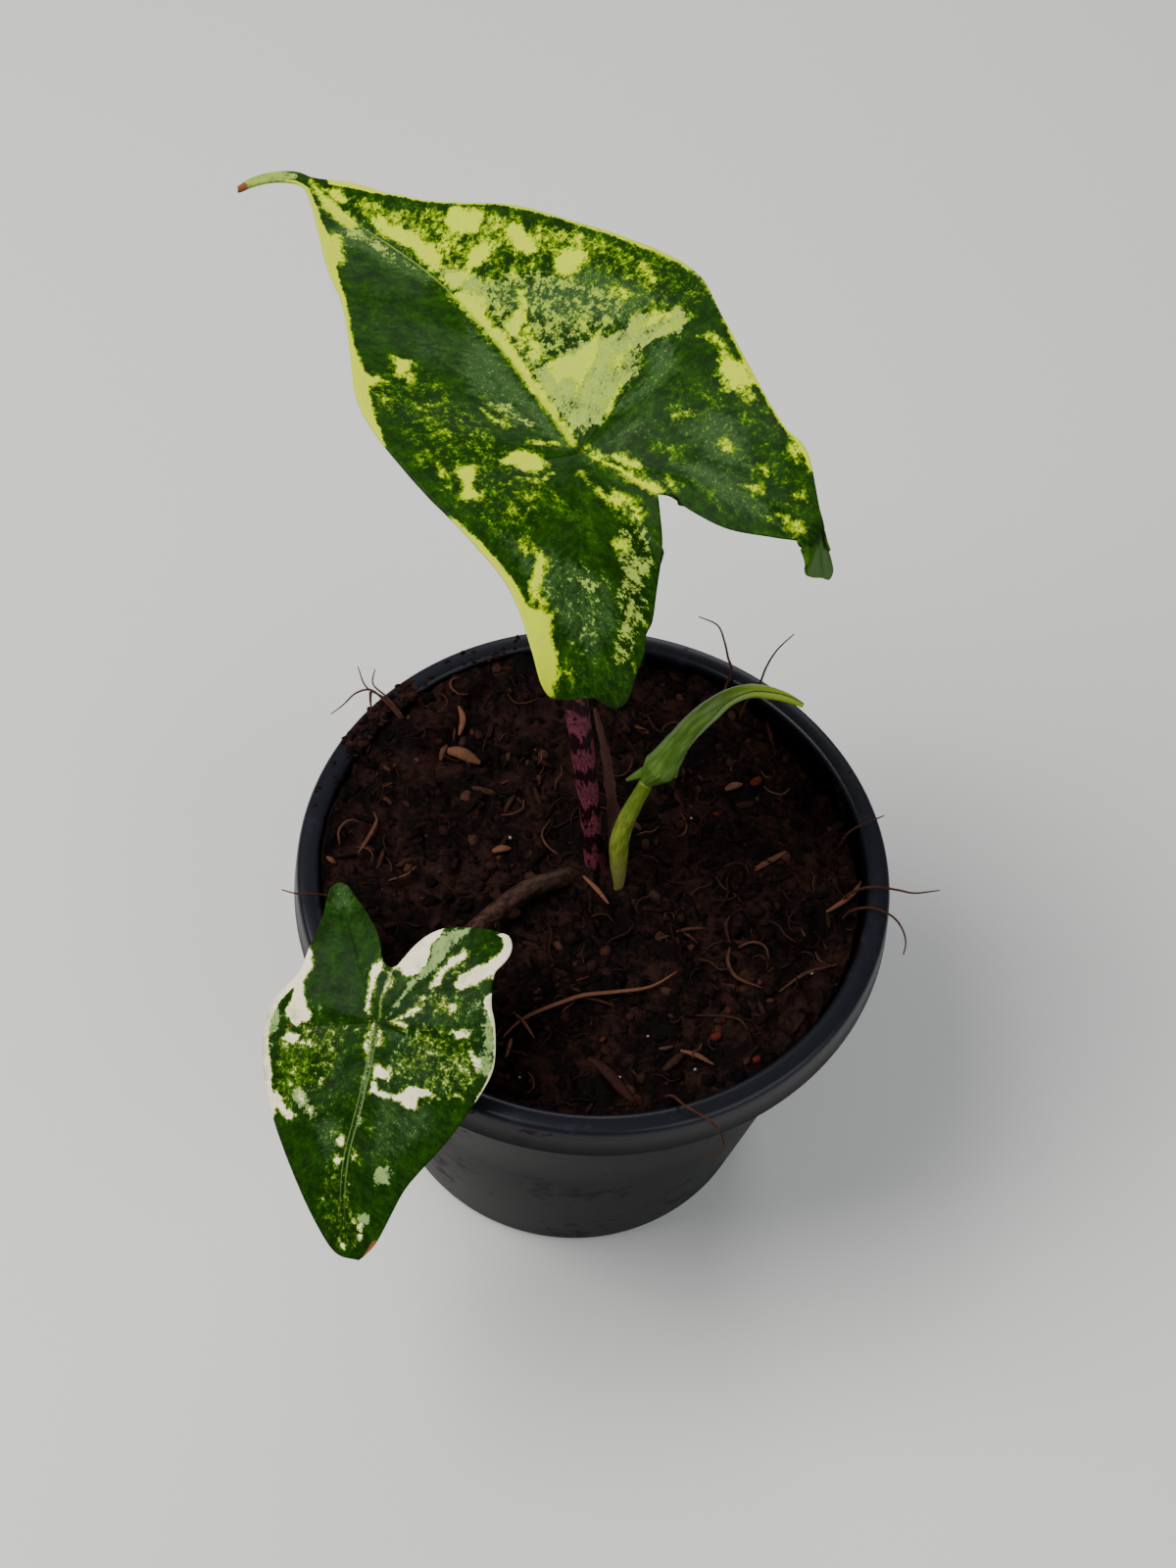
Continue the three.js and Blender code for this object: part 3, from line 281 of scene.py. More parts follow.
# Stripes along the outer margin of each half: places along the blade, and the width there, or -1 for none
LARGE_LEFT_STRIPE = [
    (94, 0), (92, 0.4), (84, 0.8), (76, 1.3), (70, 2.2), (66, 3), (63, 1.6), (56, 1), (50, 0.7), (45, 0.6),
    (42, 1), (38, 1.6), (33, 2.8), (28, 2.2), (22, 1.4), (18, 0.3), (16, -1), (0, -1), (-3, 0.5), (-8, 0.9),
    (-11, 1.1), (-16, 1.2), (-20, 1.6), (-23, 1.8), (-24.5, -1),
]
LARGE_RIGHT_STRIPE = [
    (89, -1), (87, 1.2), (82, 1.6), (78, 1.2), (74, 0.4), (66, 0.2), (55, 0.3), (48, 0.6), (40, 0.3),
    (32, 0.3), (28, 0.9), (24, 0.7), (15, 0.1), (5, -0.1), (-3, 0.4), (-20, 0.3), (-28, 0.8), (-31, -1),
]

# Markings of the small blade, in the same way
SMALL_CREAM = [
    (1.2, [(-8.4, 14.4), (-8.8, 13.4), (-10.6, 13.8), (-12.4, 15.2), (-13.6, 17.2), (-15.4, 19.2),
           (-17.4, 20.4), (-17, 21.8), (-14, 21.2), (-13, 20.2), (-12, 18.8), (-10.2, 16.8), (-8.6, 15.2)]),
    (1.0, [(-8.2, 8.8), (-9.6, 9), (-12, 9.8), (-14, 11), (-16, 13), (-15.8, 14.4), (-14.6, 14.8),
           (-13, 12.6), (-11, 11.2), (-8.8, 10.4)]),
    (1.3, [(-9.7, 3.2), (-10.4, 6.2), (-12, 7.1), (-13.6, 7), (-16, 6.8), (-19, 8.4), (-21.4, 8.4), (-18, 4),
           (-14, 0.6), (-11, 0.6), (-10.4, 1.4)]),
    (0.85, [(-0.1, -0.9), (-2.3, -2), (-5.9, -1.9), (-8.7, -1.5), (-10.8, -0.8), (-12.2, -1.7),
            (-10.9, -3.4), (-8.6, -3.5), (-5.8, -3.2), (-2.3, -2.7), (-0.1, -1.4)]),
    (0.8, [(-10.2, -0.1), (-10.2, 1.1), (-7.5, 1.4), (-5.5, 0.5), (-2.8, 0.4), (-0.6, 0.5), (-0.6, 0.3),
           (-2.8, 0.1), (-5.3, 0), (-7.5, 0.2)]),
    (1.0, [(-0.2, 2.4), (-1.2, 4.8), (-3, 7.6), (-4.2, 9), (-4, 7), (-2, 4.4), (-0.8, 2.4)]),
    (1.0, [(0, 3.4), (-1, 4.8), (-0.6, 6.2), (0.2, 5.6), (0.4, 4.4)]),
    (0.95, [(-4.4, 6.8), (-6.4, 7.8), (-6.2, 8.8), (-4.6, 8.4)]),
    (0.9, [(-6.6, 10), (-7.6, 11.4), (-7.2, 13), (-6.4, 13), (-6.6, 11.4)]),
    (0.25, [(-3, 10), (-6.4, 9.4), (-8, 12), (-6, 16), (-3, 15)]),
    (0.2, [(-9, 12), (-13, 14.6), (-18, 18), (-17, 16), (-14, 13.4), (-10, 11)]),
    (1.15, [(15.2, 10.2), (12.6, 10.2), (11.2, 13), (10.4, 11.6), (11.4, 8), (12.8, 5), (12.2, 2.6),
            (9.8, 1), (13, 0.8), (13.4, 4), (13, 6.4), (14.6, 8)]),
    (1.1, [(10.2, 4), (8.8, 4.4), (7.4, 1.6), (8, 0.9), (10, 1)]),
    (0.7, [(12.4, 15), (11, 18.8), (10.4, 18), (11.2, 15)]),
    (0.5, [(8, 20.6), (4, 18.6), (2, 17.4), (1.4, 20), (4, 21.6)]),
    (1.1, [(0.6, 15.2), (-0.8, 15), (-0.8, 17.6), (0.6, 17.4)]),
    (0.14, [(10, 4), (10, 20), (2, 21), (-2, 12), (1, 7)]),
    (0.95, [(0, -0.9), (2.2, -1.8), (4, -1.7), (5.6, -1.4), (7.2, -1.1), (7.2, -0.7), (5, -0.6), (2.4, -0.8),
            (0.4, -0.5)]),
    (0.8, [(0.4, 0.2), (1.2, 1.3), (4.2, 1.4), (4.2, 0.4), (2, 0.2)]),
    (0.95, [(2, -3), (2.6, -4.2), (1.6, -4), (1.6, -3)]),
    (0.85, [(26.4, -0.6), (24.8, -0.6), (25, -1.4), (26.2, -1.4)]),
    (0.85, [(28, -3.8), (26, -3.2), (25.4, -4.4), (27.6, -4.8)]),
    (0.95, [(24, -3.2), (22, -2.9), (21.8, -4.4), (23.8, -4.8)]),
    (0.6, [(17, -9.4), (18.6, -8.6), (19.6, -9.8), (18.4, -11.8), (17.4, -14), (15, -15), (15, -13),
           (16.6, -11.8)]),
    (1.05, [(20.8, -14.4), (19.4, -13.4), (18.8, -15.6), (16, -18), (15.6, -19.2), (19, -18.4)]),
    (1.25, [(-12, -17.4), (-9.8, -15.7), (-8.4, -15.4), (-6.4, -16), (-4.4, -16.6), (-3, -16.2), (-1.2, -15),
            (0.4, -13.4), (1.8, -13.5), (2, -15.4), (2.8, -16.6), (1.6, -17.8), (0.2, -19), (-1.4, -18),
            (-3.2, -18), (-4.4, -18.6), (-4.6, -20), (-6, -19.6), (-8.4, -18.2)]),
    (0.95, [(3.6, -18.6), (4.2, -16.2), (5.4, -15.2), (6.8, -14.4), (6.6, -16.6), (5.6, -18.8)]),
    (0.25, [(2, -14), (3, -11.6), (6.4, -11), (9, -14), (9, -18), (6, -20)]),
    (0.08, [(14, -8), (20, -17), (12, -20), (3, -20), (1, -8), (4, -5)]),
    (0.0, [(28, -1), (28, -7), (36, -7), (42, -5), (42, 1), (34, 0)]),
    (-0.14, [(28, -8), (28, 6), (0, 20), (0, -18)]),
    (1.2, [(37.3, -0.2), (37.3, 0.5), (36.6, 0.5), (36.6, -0.2)]),
    (1.4, [(38.3, 0.8), (38.3, 1.5), (37.5, 1.5), (37.5, 0.8)]),
    (1.3, [(40, 1.1), (40, 1.9), (39.2, 1.9), (39.2, 1.1)]),
    (1.2, [(42.3, -2.3), (42.3, -1.7), (41.7, -1.7), (41.7, -2.3)]),
    (1.0, [(41.9, 0.2), (41.9, 0.8), (41.3, 0.8), (41.3, 0.2)]),
]
SMALL_PALE = [
    (1.0, [(-10.4, 6.4), (-13.4, 7), (-16, 6.8), (-19.6, 10), (-20, 13), (-16.4, 11.4), (-12.6, 9.6),
           (-10, 8)]),
    (1.2, [(-0.2, 1.2), (-3.6, 3.2), (-6.4, 4.6), (-8.8, 6), (-10.4, 7.8), (-10.2, 6.6), (-8.4, 4.9),
           (-6.2, 3.8), (-3.2, 2.5), (-0.2, 0.9)]),
    (1.3, [(29.5, 5), (28.5, 7), (26.4, 6.8), (25.8, 4.8), (27.6, 3.6), (29.4, 4.2)]),
    (1.2, [(38, 1.4), (37.2, 3.2), (35.6, 2.4), (36, 0.6)]),
    (1.1, [(14.8, -15.6), (14.6, -12.6), (16.6, -11.4), (17, -9.4), (18.6, -8.6), (19.6, -9.8),
           (18.4, -11.8), (17.8, -14.4), (16.6, -15.8)]),
    (0.9, [(0.5, -1), (14, -0.8), (20, -1), (20, -0.4), (14, -0.1), (0.5, 0.2)]),
    (0.7, [(-8, 18.6), (-4, 19.4), (0, 20.4), (4, 19.8), (7, 20.4), (7, 24), (0, 24), (-8, 22)]),
    (0.6, [(0, -19.4), (8, -20.6), (14, -20.4), (16, -24), (0, -24)]),
    (0.1, [(24, -4), (22, -20), (-4, -22), (-2, -4)]),
    (0.2, [(16, 2), (14, 18), (-4, 21), (-16, 18), (-14, 8), (-1, 3)]),
]
# Where a grey sheen is painted on the green: a painted reflection of the lamps
SMALL_PAINTED_SHEEN = [
    (0.6, [(26, 2), (24, 10), (18, 14), (12, 14), (14, 8), (12, 2), (18, 1)]),
    (0.8, [(3.4, 1.8), (3, 6.4), (0.4, 6), (0.6, 2)]),
    (0.6, [(12, 2), (12, 16), (6, 16), (4, 4)]),
    (0.8, [(28, -5), (22, -11), (18, -10), (18, -3)]),
    (0.5, [(16, -3), (12, -11), (6, -12), (4, -4)]),
    (0.9, [(-20, -10), (-26, -13), (-26, -18), (-19, -15)]),
]
SMALL_FRESH = [
    (0.5, [(-1, 8), (-8, 10), (-12, 17), (-4, 19), (8, 20), (8, 16)]),
    (0.6, [(2, -9), (12, -10), (20, -14), (16, -20), (4, -20)]),
    (0.5, [(28, -6), (34, -10), (40, -8), (36, -4)]),
]
SMALL_BROWN = [
    (1.1, [(43.4, 2.2), (41.6, 3.2), (39.8, 4.2), (39.6, 6), (43, 6)]),
    (1.0, [(3, -17.6), (3.7, -17.7), (3.6, -18.5), (2.9, -18.4)]),
]
SMALL_DARK = [
    (1.2, [(7.5, -15.6), (8.1, -15.8), (8.5, -17.4), (7.8, -17.2)]),
    (0.7, [(42.6, 0.6), (43.6, 1.4), (43, 2), (42.2, 1.4)]),
]
SMALL_LEFT_STRIPE = [
    (13, -1), (11, 0.3), (5, 0.3), (0, 0.4), (-4, 0.7), (-6.6, 1.4), (-8, 1), (-9.5, -0.6), (-12, 0),
    (-13, 1), (-17, 1.4), (-21, 1.4),
]
SMALL_RIGHT_STRIPE = [
    (22, -1), (20, 0.8), (16, 1.3), (12, 1.8), (8, 1.6), (4, 1.2), (0, 1.4), (-3, 1.8), (-6, 1.9), (-11, 1),
    (-12.5, -1),
]

# Middle lines of the stalks and of the rolled leaf, and their radii at even steps along them
LARGE_STEM = {
    "line": [(0.6, 3.1, 84.4), (0.6, 3.1, 86), (0.1, 3.6, 89.5), (-2.05, 6.3, 103.8), (-4.45, 9, 118.2),
             (-6.95, 11.8, 132.9), (-9.6, 16, 155), (-10.9, 20.4, 175), (-10.7, 22.3, 184),
             (-10.5, 22.5, 188.4)],
    "radii": (2.2, 2.1, 2.2, 2.35, 2.3, 2.2, 2.0, 1.8, 1.7),
}
SMALL_STEM = {
    "line": [(-4.4, 0.6, 84.4), (-4.4, 0.6, 86), (-5, -0.2, 88.6), (-8, -2.8, 90.8), (-13, -6.7, 92.6),
             (-21.7, -17.6, 94.8), (-29.5, -31, 96), (-34.6, -40.6, 97), (-36.1, -43.9, 99.6),
             (-37.1, -45.4, 102.6)],
    "radii": (1.9, 1.9, 1.85, 1.8, 1.7, 1.6, 1.5, 1.4),
}
NEW_STEM = {
    "line": [(5.3, -1.7, 84.4), (5.3, -1.7, 86), (5.4, -1.5, 89.5), (4.8, 0.4, 95), (4.5, 2.2, 100),
             (5.2, 4.2, 104), (6.6, 6, 108.4), (7.9, 7, 112.4), (8.4, 7.4, 114.6)],
    "radii": (1, 0.95, 1.55, 1.95, 1.9, 1.75, 1.55, 1.45),
}
SPEAR = {
    "line": [(8.5, 7.5, 115.1), (9.5, 7.9, 117.2), (11.4, 8.9, 120.2), (13.5, 10.5, 124), (15.9, 12, 128),
             (18.9, 13.5, 131.6), (22.2, 15, 134.6), (26, 16, 136), (29.8, 16.4, 135.5), (33.6, 16.8, 133.9),
             (36.5, 17.1, 131.9)],
    "radii": (1.6, 3.3, 2.9, 2.5, 2.4, 2.3, 1.8, 1.45, 1.3, 0.95, 0.5),
}
SPEAR_LENGTH = 41
# Where the roll's free edge starts, and how far it winds along the leaf, in radians
SEAM_START = 0.9
SEAM_TURN = -2.6
SPEAR_LOBES = [
    {"line": [(9.6, 8.2, 118), (7.2, 8.2, 116), (4.5, 7.8, 113.8)], "radii": (1.6, 1, 0.3)},
    {"line": [(11.4, 9, 120), (13, 8.8, 117.8), (13.7, 8.6, 116)], "radii": (1.6, 1.6, 0.8)},
]
SHEATH_LINE = [(4.6, 4.1, 84.4), (4.6, 4.1, 86), (4.4, 5, 90.5), (3.2, 7.2, 99), (1.6, 9.2, 108),
               (-0.2, 10.8, 118), (-2.2, 11.5, 127), (-3.2, 11.9, 131)]
SHEATH_WIDTHS = (2.2, 3, 2.8, 2.3, 1.9, 1.4, 0.9)

# Bark, wood and coir that lie on the soil: middle line, half width, height above it, and how light they are
STRANDS = [
    ([(-33.4, 25.7), (-30.7, 25.3), (-26, 24.2)], 1.4, 0.5, 0.85),
    ([(-34.3, 23.2), (-34, 25), (-33.4, 26.9)], 0.6, 0.8, 0.7),
    ([(-32, 36.4), (-30.8, 33.4), (-31.2, 30)], 0.65, 0.8, 0.9),
    ([(-48, -3.3), (-46, 2.3), (-45.3, 6), (-46.2, 8.1)], 0.4, 0.8, 0.7),
    ([(-53.8, -5), (-52.7, -5.7), (-51.8, -5.9)], 0.5, 0.6, 0.8),
    ([(-21.1, 3), (-19.2, 3.8), (-17.4, 4.4)], 0.8, 0.5, 0.85),
    ([(28.9, -13.1), (28.5, -17.7), (30.2, -20.8), (35.6, -22.4)], 0.4, 0.7, 0.65),
    ([(28.5, -6.2), (27.7, -8.7), (28.8, -12.4)], 0.35, 0.5, 0.5),
    ([(14.6, -13.2), (19.8, -10.3), (23.3, -9.2)], 0.4, 0.7, 0.6),
    ([(19, -10.8), (20.6, -12), (22.3, -13.2)], 0.3, 0.7, 0.55),
    ([(47.8, -3.1), (50.8, -1.5), (53.4, 1.4), (55, 5)], 0.55, 0.8, 0.85),
    ([(32.4, 5.1), (35.4, 7.6), (39.5, 11)], 0.65, 0.6, 0.75),
    ([(25.9, 24.6), (27.6, 25.6), (29.4, 26.5)], 0.8, 0.5, 0.8),
    ([(39.1, -22.4), (42.9, -19.3), (45.6, -17.4), (49.2, -15.6)], 0.35, 0.7, 0.6),
    ([(-15, -39.8), (-11.2, -35.4), (-2.3, -29.8), (0.3, -28.6), (6.6, -26.8), (13.6, -24.8), (18.5, -20.8)],
     0.42, 1.1, 0.85),
    ([(-13, -33.4), (-10.8, -35.8), (-8.2, -38.5)], 0.35, 1.5, 0.8),
    ([(0.3, -28.6), (3.8, -28.9), (7.2, -30)], 0.3, 0.9, 0.5),
    ([(-13.3, -43.4), (-12.9, -41), (-12.6, -38.6)], 0.4, 0.9, 1.0),
    ([(2.6, -41.5), (5.8, -43.8), (8.9, -46.5), (12.6, -50.4)], 1.1, 0.7, 0.45),
    ([(20.3, -37.8), (23.5, -38.8), (27, -40.1)], 0.5, 0.8, 0.8),
    ([(16.1, -37.6), (17.5, -37.6), (18.9, -36.9)], 0.4, 0.6, 0.6),
    ([(20.2, -29.8), (27.8, -29.5), (31.7, -30.6), (34.4, -34.6)], 0.3, 0.7, 0.5),
    ([(33.8, 43.1), (34.4, 40.9), (35.7, 37.3)], 0.5, 0.8, 0.45),
    ([(25.8, 44.3), (26.1, 43.2), (26.6, 42.1)], 0.9, 0.8, 0.55),
    ([(-1.3, -45.2), (-1, -48), (-1.1, -51)], 1.3, 0.3, 0.12),
    ([(-2, -0.6), (0.9, -3.2), (3.7, -6.2)], 0.5, 0.9, 1.3),
]
# Bits in their own colours: place and size. The white ones are perlite.
RED_TONE = 1.6
WHITE_TONE = 2.3
RED_BITS = [(32.4, 28.1, 1.3), (24.4, 18.4, 0.7), (27.2, -33.5, 1.1), (35.4, -38.2, 1), (5.1, -37, 0.6)]
WHITE_BITS = [(-49.2, 27.5, 0.45), (-17.9, 6.9, 0.5), (45.3, -17.9, 0.45), (13.8, -35.3, 0.3),
              (23.4, -41.7, 0.35), (9, -44.8, 0.35), (-10.2, -47.3, 0.3), (19.2, 16.7, 0.3)]
# Proportions of the loose bits, and the bends of the loose fibres
BIT_SIZES = [(1, 0.85, 0.75), (1.3, 0.8, 0.55), (1.2, 1, 0.4), (1.9, 0.5, 0.4), (2.6, 0.5, 0.3)]
FIBRE_BENDS = [
    [(-5, 0, 0), (-2, 0.8, 0.6), (2, -0.4, 0.9), (5, 0.6, 0)],
    [(-4, -1, 0), (-1.5, 0.9, 0.8), (1.5, 1.4, 0.5), (4, -0.8, 0.2)],
    [(-3, -1.6, 0), (-2, 0.8, 0.4), (0.6, 1.7, 1), (2.8, 0.4, 0.4)],
    [(-3.4, 0, 0), (-1, 0.3, 0.7), (1.2, -0.6, 1.4), (3, 0.4, 2.2)],
    [(-2.4, 1.2, 0), (-2.2, -0.8, 0.4), (0, -2, 0.7), (2.2, -1, 0.5), (2.4, 0.8, 0.2)],
    [(-6, 0.6, 0), (-2, -0.5, 0.5), (1.5, 0.4, 0.3), (6, -0.3, 0.6)],
]
# Fibres that reach over the lip
LONG_FIBRES = [
    [(18, -47, 87.5), (19.5, -50, 94), (21.8, -53.2, 96.8), (26.2, -55.6, 97.2), (28.8, -57.6, 95.2),
     (29.4, -59, 92), (25.8, -60.4, 89)],
    [(50.5, 14, 87.5), (51.6, 14.4, 93.6), (54.6, 15, 96.8), (58.2, 16.4, 98.2)],
    [(50, -1, 87.5), (52, -0.6, 93.8), (56, -0.4, 97), (61, -0.7, 97.4), (64.5, -0.8, 97), (70, 1, 96.2)],
    [(51, -4, 87.5), (52.6, -4.4, 93.6), (56.3, -5.2, 96.8), (60.4, -7, 97.1), (62.6, -8.8, 95.6),
     (63.6, -10.8, 93.6), (63.4, -12.4, 92)],
    [(-42.8, 29.6, 91.5), (-43.8, 30.3, 95), (-47, 32.6, 97), (-50.7, 35.2, 97.3), (-53.4, 34, 97.4),
     (-55.8, 30.2, 97.6), (-57.8, 27.6, 97.8)],
    [(-42.6, 29.9, 91.5), (-43.6, 30.6, 95), (-47, 33.2, 97.2), (-51.6, 35.4, 98), (-53.8, 38.9, 100)],
    [(-42.4, 30.2, 91.5), (-43.4, 30.9, 95), (-46.8, 33.6, 97.3), (-50.2, 36, 98.5), (-50.1, 38.6, 100.2)],
    [(-50.6, 35.1, 96.6), (-50.4, 33.2, 96.4), (-49.9, 31.3, 95.6)],
    [(-49.6, -13.2, 87.5), (-51.2, -14, 93.8), (-54.6, -15.6, 96.8), (-58, -16.2, 97.4), (-61, -15.8, 97.6)],
    [(22.6, 44.5, 87.5), (24.2, 48, 94), (25.1, 51, 96.9), (24.2, 53.1, 97.7), (23.1, 56.6, 98.8),
     (21.3, 60, 100), (17, 61.6, 100.4)],
    [(27.5, 43, 87.5), (29, 45, 94), (31.2, 47.6, 96.9), (32.4, 51.7, 97.7), (34.4, 55.9, 98.6),
     (37.9, 60.2, 99.6)],
]


# Camera and lamps

def make_camera():
    tilt, roll = math.radians(CAMERA_TILT), math.radians(CAMERA_ROLL)
    level = Vector((1, 0, 0))
    lean = Vector((0, math.sin(tilt), math.cos(tilt)))
    back = Vector((0, -math.cos(tilt), math.sin(tilt)))
    right = level * math.cos(roll) + lean * math.sin(roll)
    upward = lean * math.cos(roll) - level * math.sin(roll)
    turned = Matrix((right, upward, back)).transposed().to_euler()
    bpy.ops.object.camera_add(location=Vector(CAMERA_PLACE) * MM, rotation=turned)
    camera = bpy.context.object
    camera.data.lens = CAMERA_LENS
    camera.data.sensor_width = CAMERA_SENSOR
    bpy.context.scene.camera = camera


def add_light(name, place, size, power, colour):
    """A soft square lamp, with its place and size in metres, that faces the plant."""
    aim = (Vector(LIT_PLACE) * MM - Vector(place)).to_track_quat("-Z", "Y").to_euler()
    bpy.ops.object.light_add(type="AREA", location=place, rotation=aim)
    lamp = bpy.context.object
    lamp.name = name
    lamp.data.size = size
    lamp.data.energy = power
    lamp.data.color = colour


# Shader nodes

class Wire:
    """A shader value. Python's operators on it add Math nodes."""

    def __init__(self, finish, socket):
        self.finish = finish
        self.socket = socket

    def __add__(self, other):
        return self.finish.maths("ADD", self, other)

    def __sub__(self, other):
        return self.finish.maths("SUBTRACT", self, other)

    def __rsub__(self, other):
        return self.finish.maths("SUBTRACT", other, self)

    def __mul__(self, other):
        return self.finish.maths("MULTIPLY", self, other)

    __radd__ = __add__
    __rmul__ = __mul__


class Finish:
    """A procedural material, and the nodes that its colour and relief are worked out with."""

    def __init__(self, name, **constants):
        self.material = bpy.data.materials.new(name)
        self.material.use_nodes = True
        self.nodes = self.material.node_tree.nodes
        self.links = self.material.node_tree.links
        self.shader = self.nodes["Principled BSDF"]
        self.set(**constants)

    def make(self, kind, sockets, output=0, **settings):
        node = self.nodes.new(kind)
        for name, value in settings.items():
            setattr(node, name, value)
        for key, value in sockets.items():
            self.join(value, node.inputs[key])
        return Wire(self, node.outputs[output])

    def join(self, value, socket):
        if isinstance(value, Wire):
            self.links.new(value.socket, socket)
        else:
            socket.default_value = value

    def set(self, **sockets):
        for name, value in sockets.items():
            self.join(value, self.shader.inputs[name.replace("_", " ")])

    def maths(self, operation, *values):
        return self.make("ShaderNodeMath", dict(enumerate(values)), operation=operation)

    def attribute(self, name, output="Vector"):
        return self.make("ShaderNodeAttribute", {}, output=output, attribute_name=name)

    def parts(self, vector):
        split = self.make("ShaderNodeSeparateXYZ", {0: vector})
        return [Wire(self, socket) for socket in split.socket.node.outputs]

    def vector(self, x, y, z):
        return self.make("ShaderNodeCombineXYZ", {0: x, 1: y, 2: z})

    def object_place(self):
        return self.make("ShaderNodeTexCoord", {}, output="Object")

    def noise(self, place, scale, detail, rough):
        sockets = {"Vector": place, "Scale": scale, "Detail": detail, "Roughness": rough}
        return self.make("ShaderNodeTexNoise", sockets)

    def smooth(self, value, low, high):
        sockets = {"Value": value, "From Min": low, "From Max": high}
        return self.make("ShaderNodeMapRange", sockets, interpolation_type="SMOOTHSTEP")

    def mix(self, share, first, second):
        """A colour between two: a Mix node's sockets 6 and 7 are its colours, and so is output 2."""
        return self.make("ShaderNodeMix", {0: share, 6: first, 7: second}, output=2, data_type="RGBA")

    def relief(self, height, strength, depth):
        sockets = {"Height": height, "Strength": strength, "Distance": depth * MM}
        return self.make("ShaderNodeBump", sockets)


def tint(red, green, blue):
    """A screen colour as a shader colour."""
    def linear(level):
        level /= 255
        return level / 12.92 if level <= 0.04045 else ((level + 0.055) / 1.055) ** 2.4
    return (linear(red), linear(green), linear(blue), 1)


# Modelling

def finish_piece(piece, slot, finishes, *nodes):
    """The piece gets its materials, rides on the plant and stands for its CAD nodes."""
    for finish in finishes:
        piece.data.materials.append(finish.material)
    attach(piece, "root")
    if nodes:
        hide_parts(*nodes)


def choose(*pieces):
    bpy.ops.object.select_all(action="DESELECT")
    for piece in pieces:
        piece.select_set(True)
    bpy.context.view_layer.objects.active = pieces[0]


@contextmanager
def edit(piece):
    """Edit mode on one piece, with all of it selected."""
    choose(piece)
    bpy.ops.object.mode_set(mode="EDIT")
    bpy.ops.mesh.select_all(action="SELECT")
    yield
    bpy.ops.object.mode_set(mode="OBJECT")


def points_of(piece):
    flat = np.empty(3 * len(piece.data.vertices), np.float32)
    piece.data.vertices.foreach_get("co", flat)
    return flat.reshape(-1, 3).astype(float)


def put_points(piece, points):
    """Moves the piece's points to places in millimetres."""
    piece.data.vertices.foreach_set("co", (np.asarray(points) * MM).astype(np.float32).ravel())
    piece.data.update()


def grid(name, along, across):
    """A flat grid to be shaped, and the two shares, from 0 to 1, at which each of its points stands."""
    bpy.ops.object.select_all(action="DESELECT")
    bpy.ops.mesh.primitive_grid_add(x_subdivisions=along, y_subdivisions=across, size=2)
    piece = bpy.context.object
    piece.name = name
    u, v, _ = (points_of(piece).T + 1) / 2
    return piece, u, v


def keep(piece, name, *columns):
    """Values for the shader, one number or three for each point."""
    kind, field = ("FLOAT", "value") if len(columns) == 1 else ("FLOAT_VECTOR", "vector")
    layer = piece.data.attributes.new(name, kind, "POINT")
    layer.data.foreach_set(field, np.stack(columns, 1).astype(np.float32).ravel())


def weld(piece):
    """Closes a shape: its seam is merged, its open ends are filled, and its faces turn outwards."""
    with edit(piece):
        bpy.ops.mesh.remove_doubles(threshold=0.002 * MM)
        bpy.ops.mesh.select_all(action="DESELECT")
        bpy.ops.mesh.select_mode(type="VERT")
        bpy.ops.mesh.select_non_manifold()
        bpy.ops.mesh.edge_face_add()
        bpy.ops.mesh.select_all(action="SELECT")
        bpy.ops.mesh.normals_make_consistent(inside=False)


def join(name, pieces):
    choose(*pieces)
    bpy.ops.object.join()
    pieces[0].name = name
    return pieces[0]


def smooth_shade(piece, angle=None):
    choose(piece)
    if angle is None:
        bpy.ops.object.shade_smooth()
    else:
        bpy.ops.object.shade_smooth_by_angle(angle=math.radians(angle))


def apply(piece, kind, **settings):
    choose(piece)
    modifier = piece.modifiers.new(kind.lower(), kind)
    for name, value in settings.items():
        setattr(modifier, name, value)
    bpy.ops.object.modifier_apply(modifier=modifier.name)


def curve(points):
    """A centripetal curve through the points, as a function of its share of length."""
    points = np.array(points, float)
    path = []
    ends = np.vstack([2 * points[0] - points[1], points, 2 * points[-1] - points[-2]])
    t = np.linspace(0, 1, 60, endpoint=False)[:, None]
    for p0, p1, p2, p3 in zip(ends, ends[1:], ends[2:], ends[3:]):
        d0, d1, d2 = (math.sqrt(np.linalg.norm(b - a)) for a, b in ((p0, p1), (p1, p2), (p2, p3)))
        m1 = ((p1 - p0) / d0 - (p2 - p0) / (d0 + d1) + (p2 - p1) / d1) * d1
        m2 = ((p2 - p1) / d1 - (p3 - p1) / (d1 + d2) + (p3 - p2) / d2) * d1
        path.append(p1 + m1 * t + (3 * (p2 - p1) - 2 * m1 - m2) * t**2 + (2 * (p1 - p2) + m1 + m2) * t**3)
    path = np.vstack(path + [points[-1:]])
    steps = np.linalg.norm(np.diff(path, axis=0), axis=1)
    share = np.concatenate([[0], np.cumsum(steps)]) / steps.sum()
    return lambda s: np.stack([np.interp(s, share, column) for column in path.T], -1)


def steady(values):
    """A value read between even steps of a share."""
    return lambda s: np.interp(s, np.linspace(0, 1, len(values)), values)


def frames(line, shares):
    """Points along a line, and two directions across it that turn as little as they can."""
    ahead = line(np.minimum(shares + 1e-3, 1)) - line(np.maximum(shares - 1e-3, 0))
    ahead /= np.linalg.norm(ahead, axis=1)[:, None]
    side = np.cross(ahead[0], (0, 0, 1) if abs(ahead[0][2]) < 0.9 else (0, 1, 0))
    sides = []
    for tangent in ahead:
        side = side - tangent * (side @ tangent)
        side = side / np.linalg.norm(side)
        sides.append(side)
    sides = np.array(sides)
    return line(shares), sides, np.cross(ahead, sides)


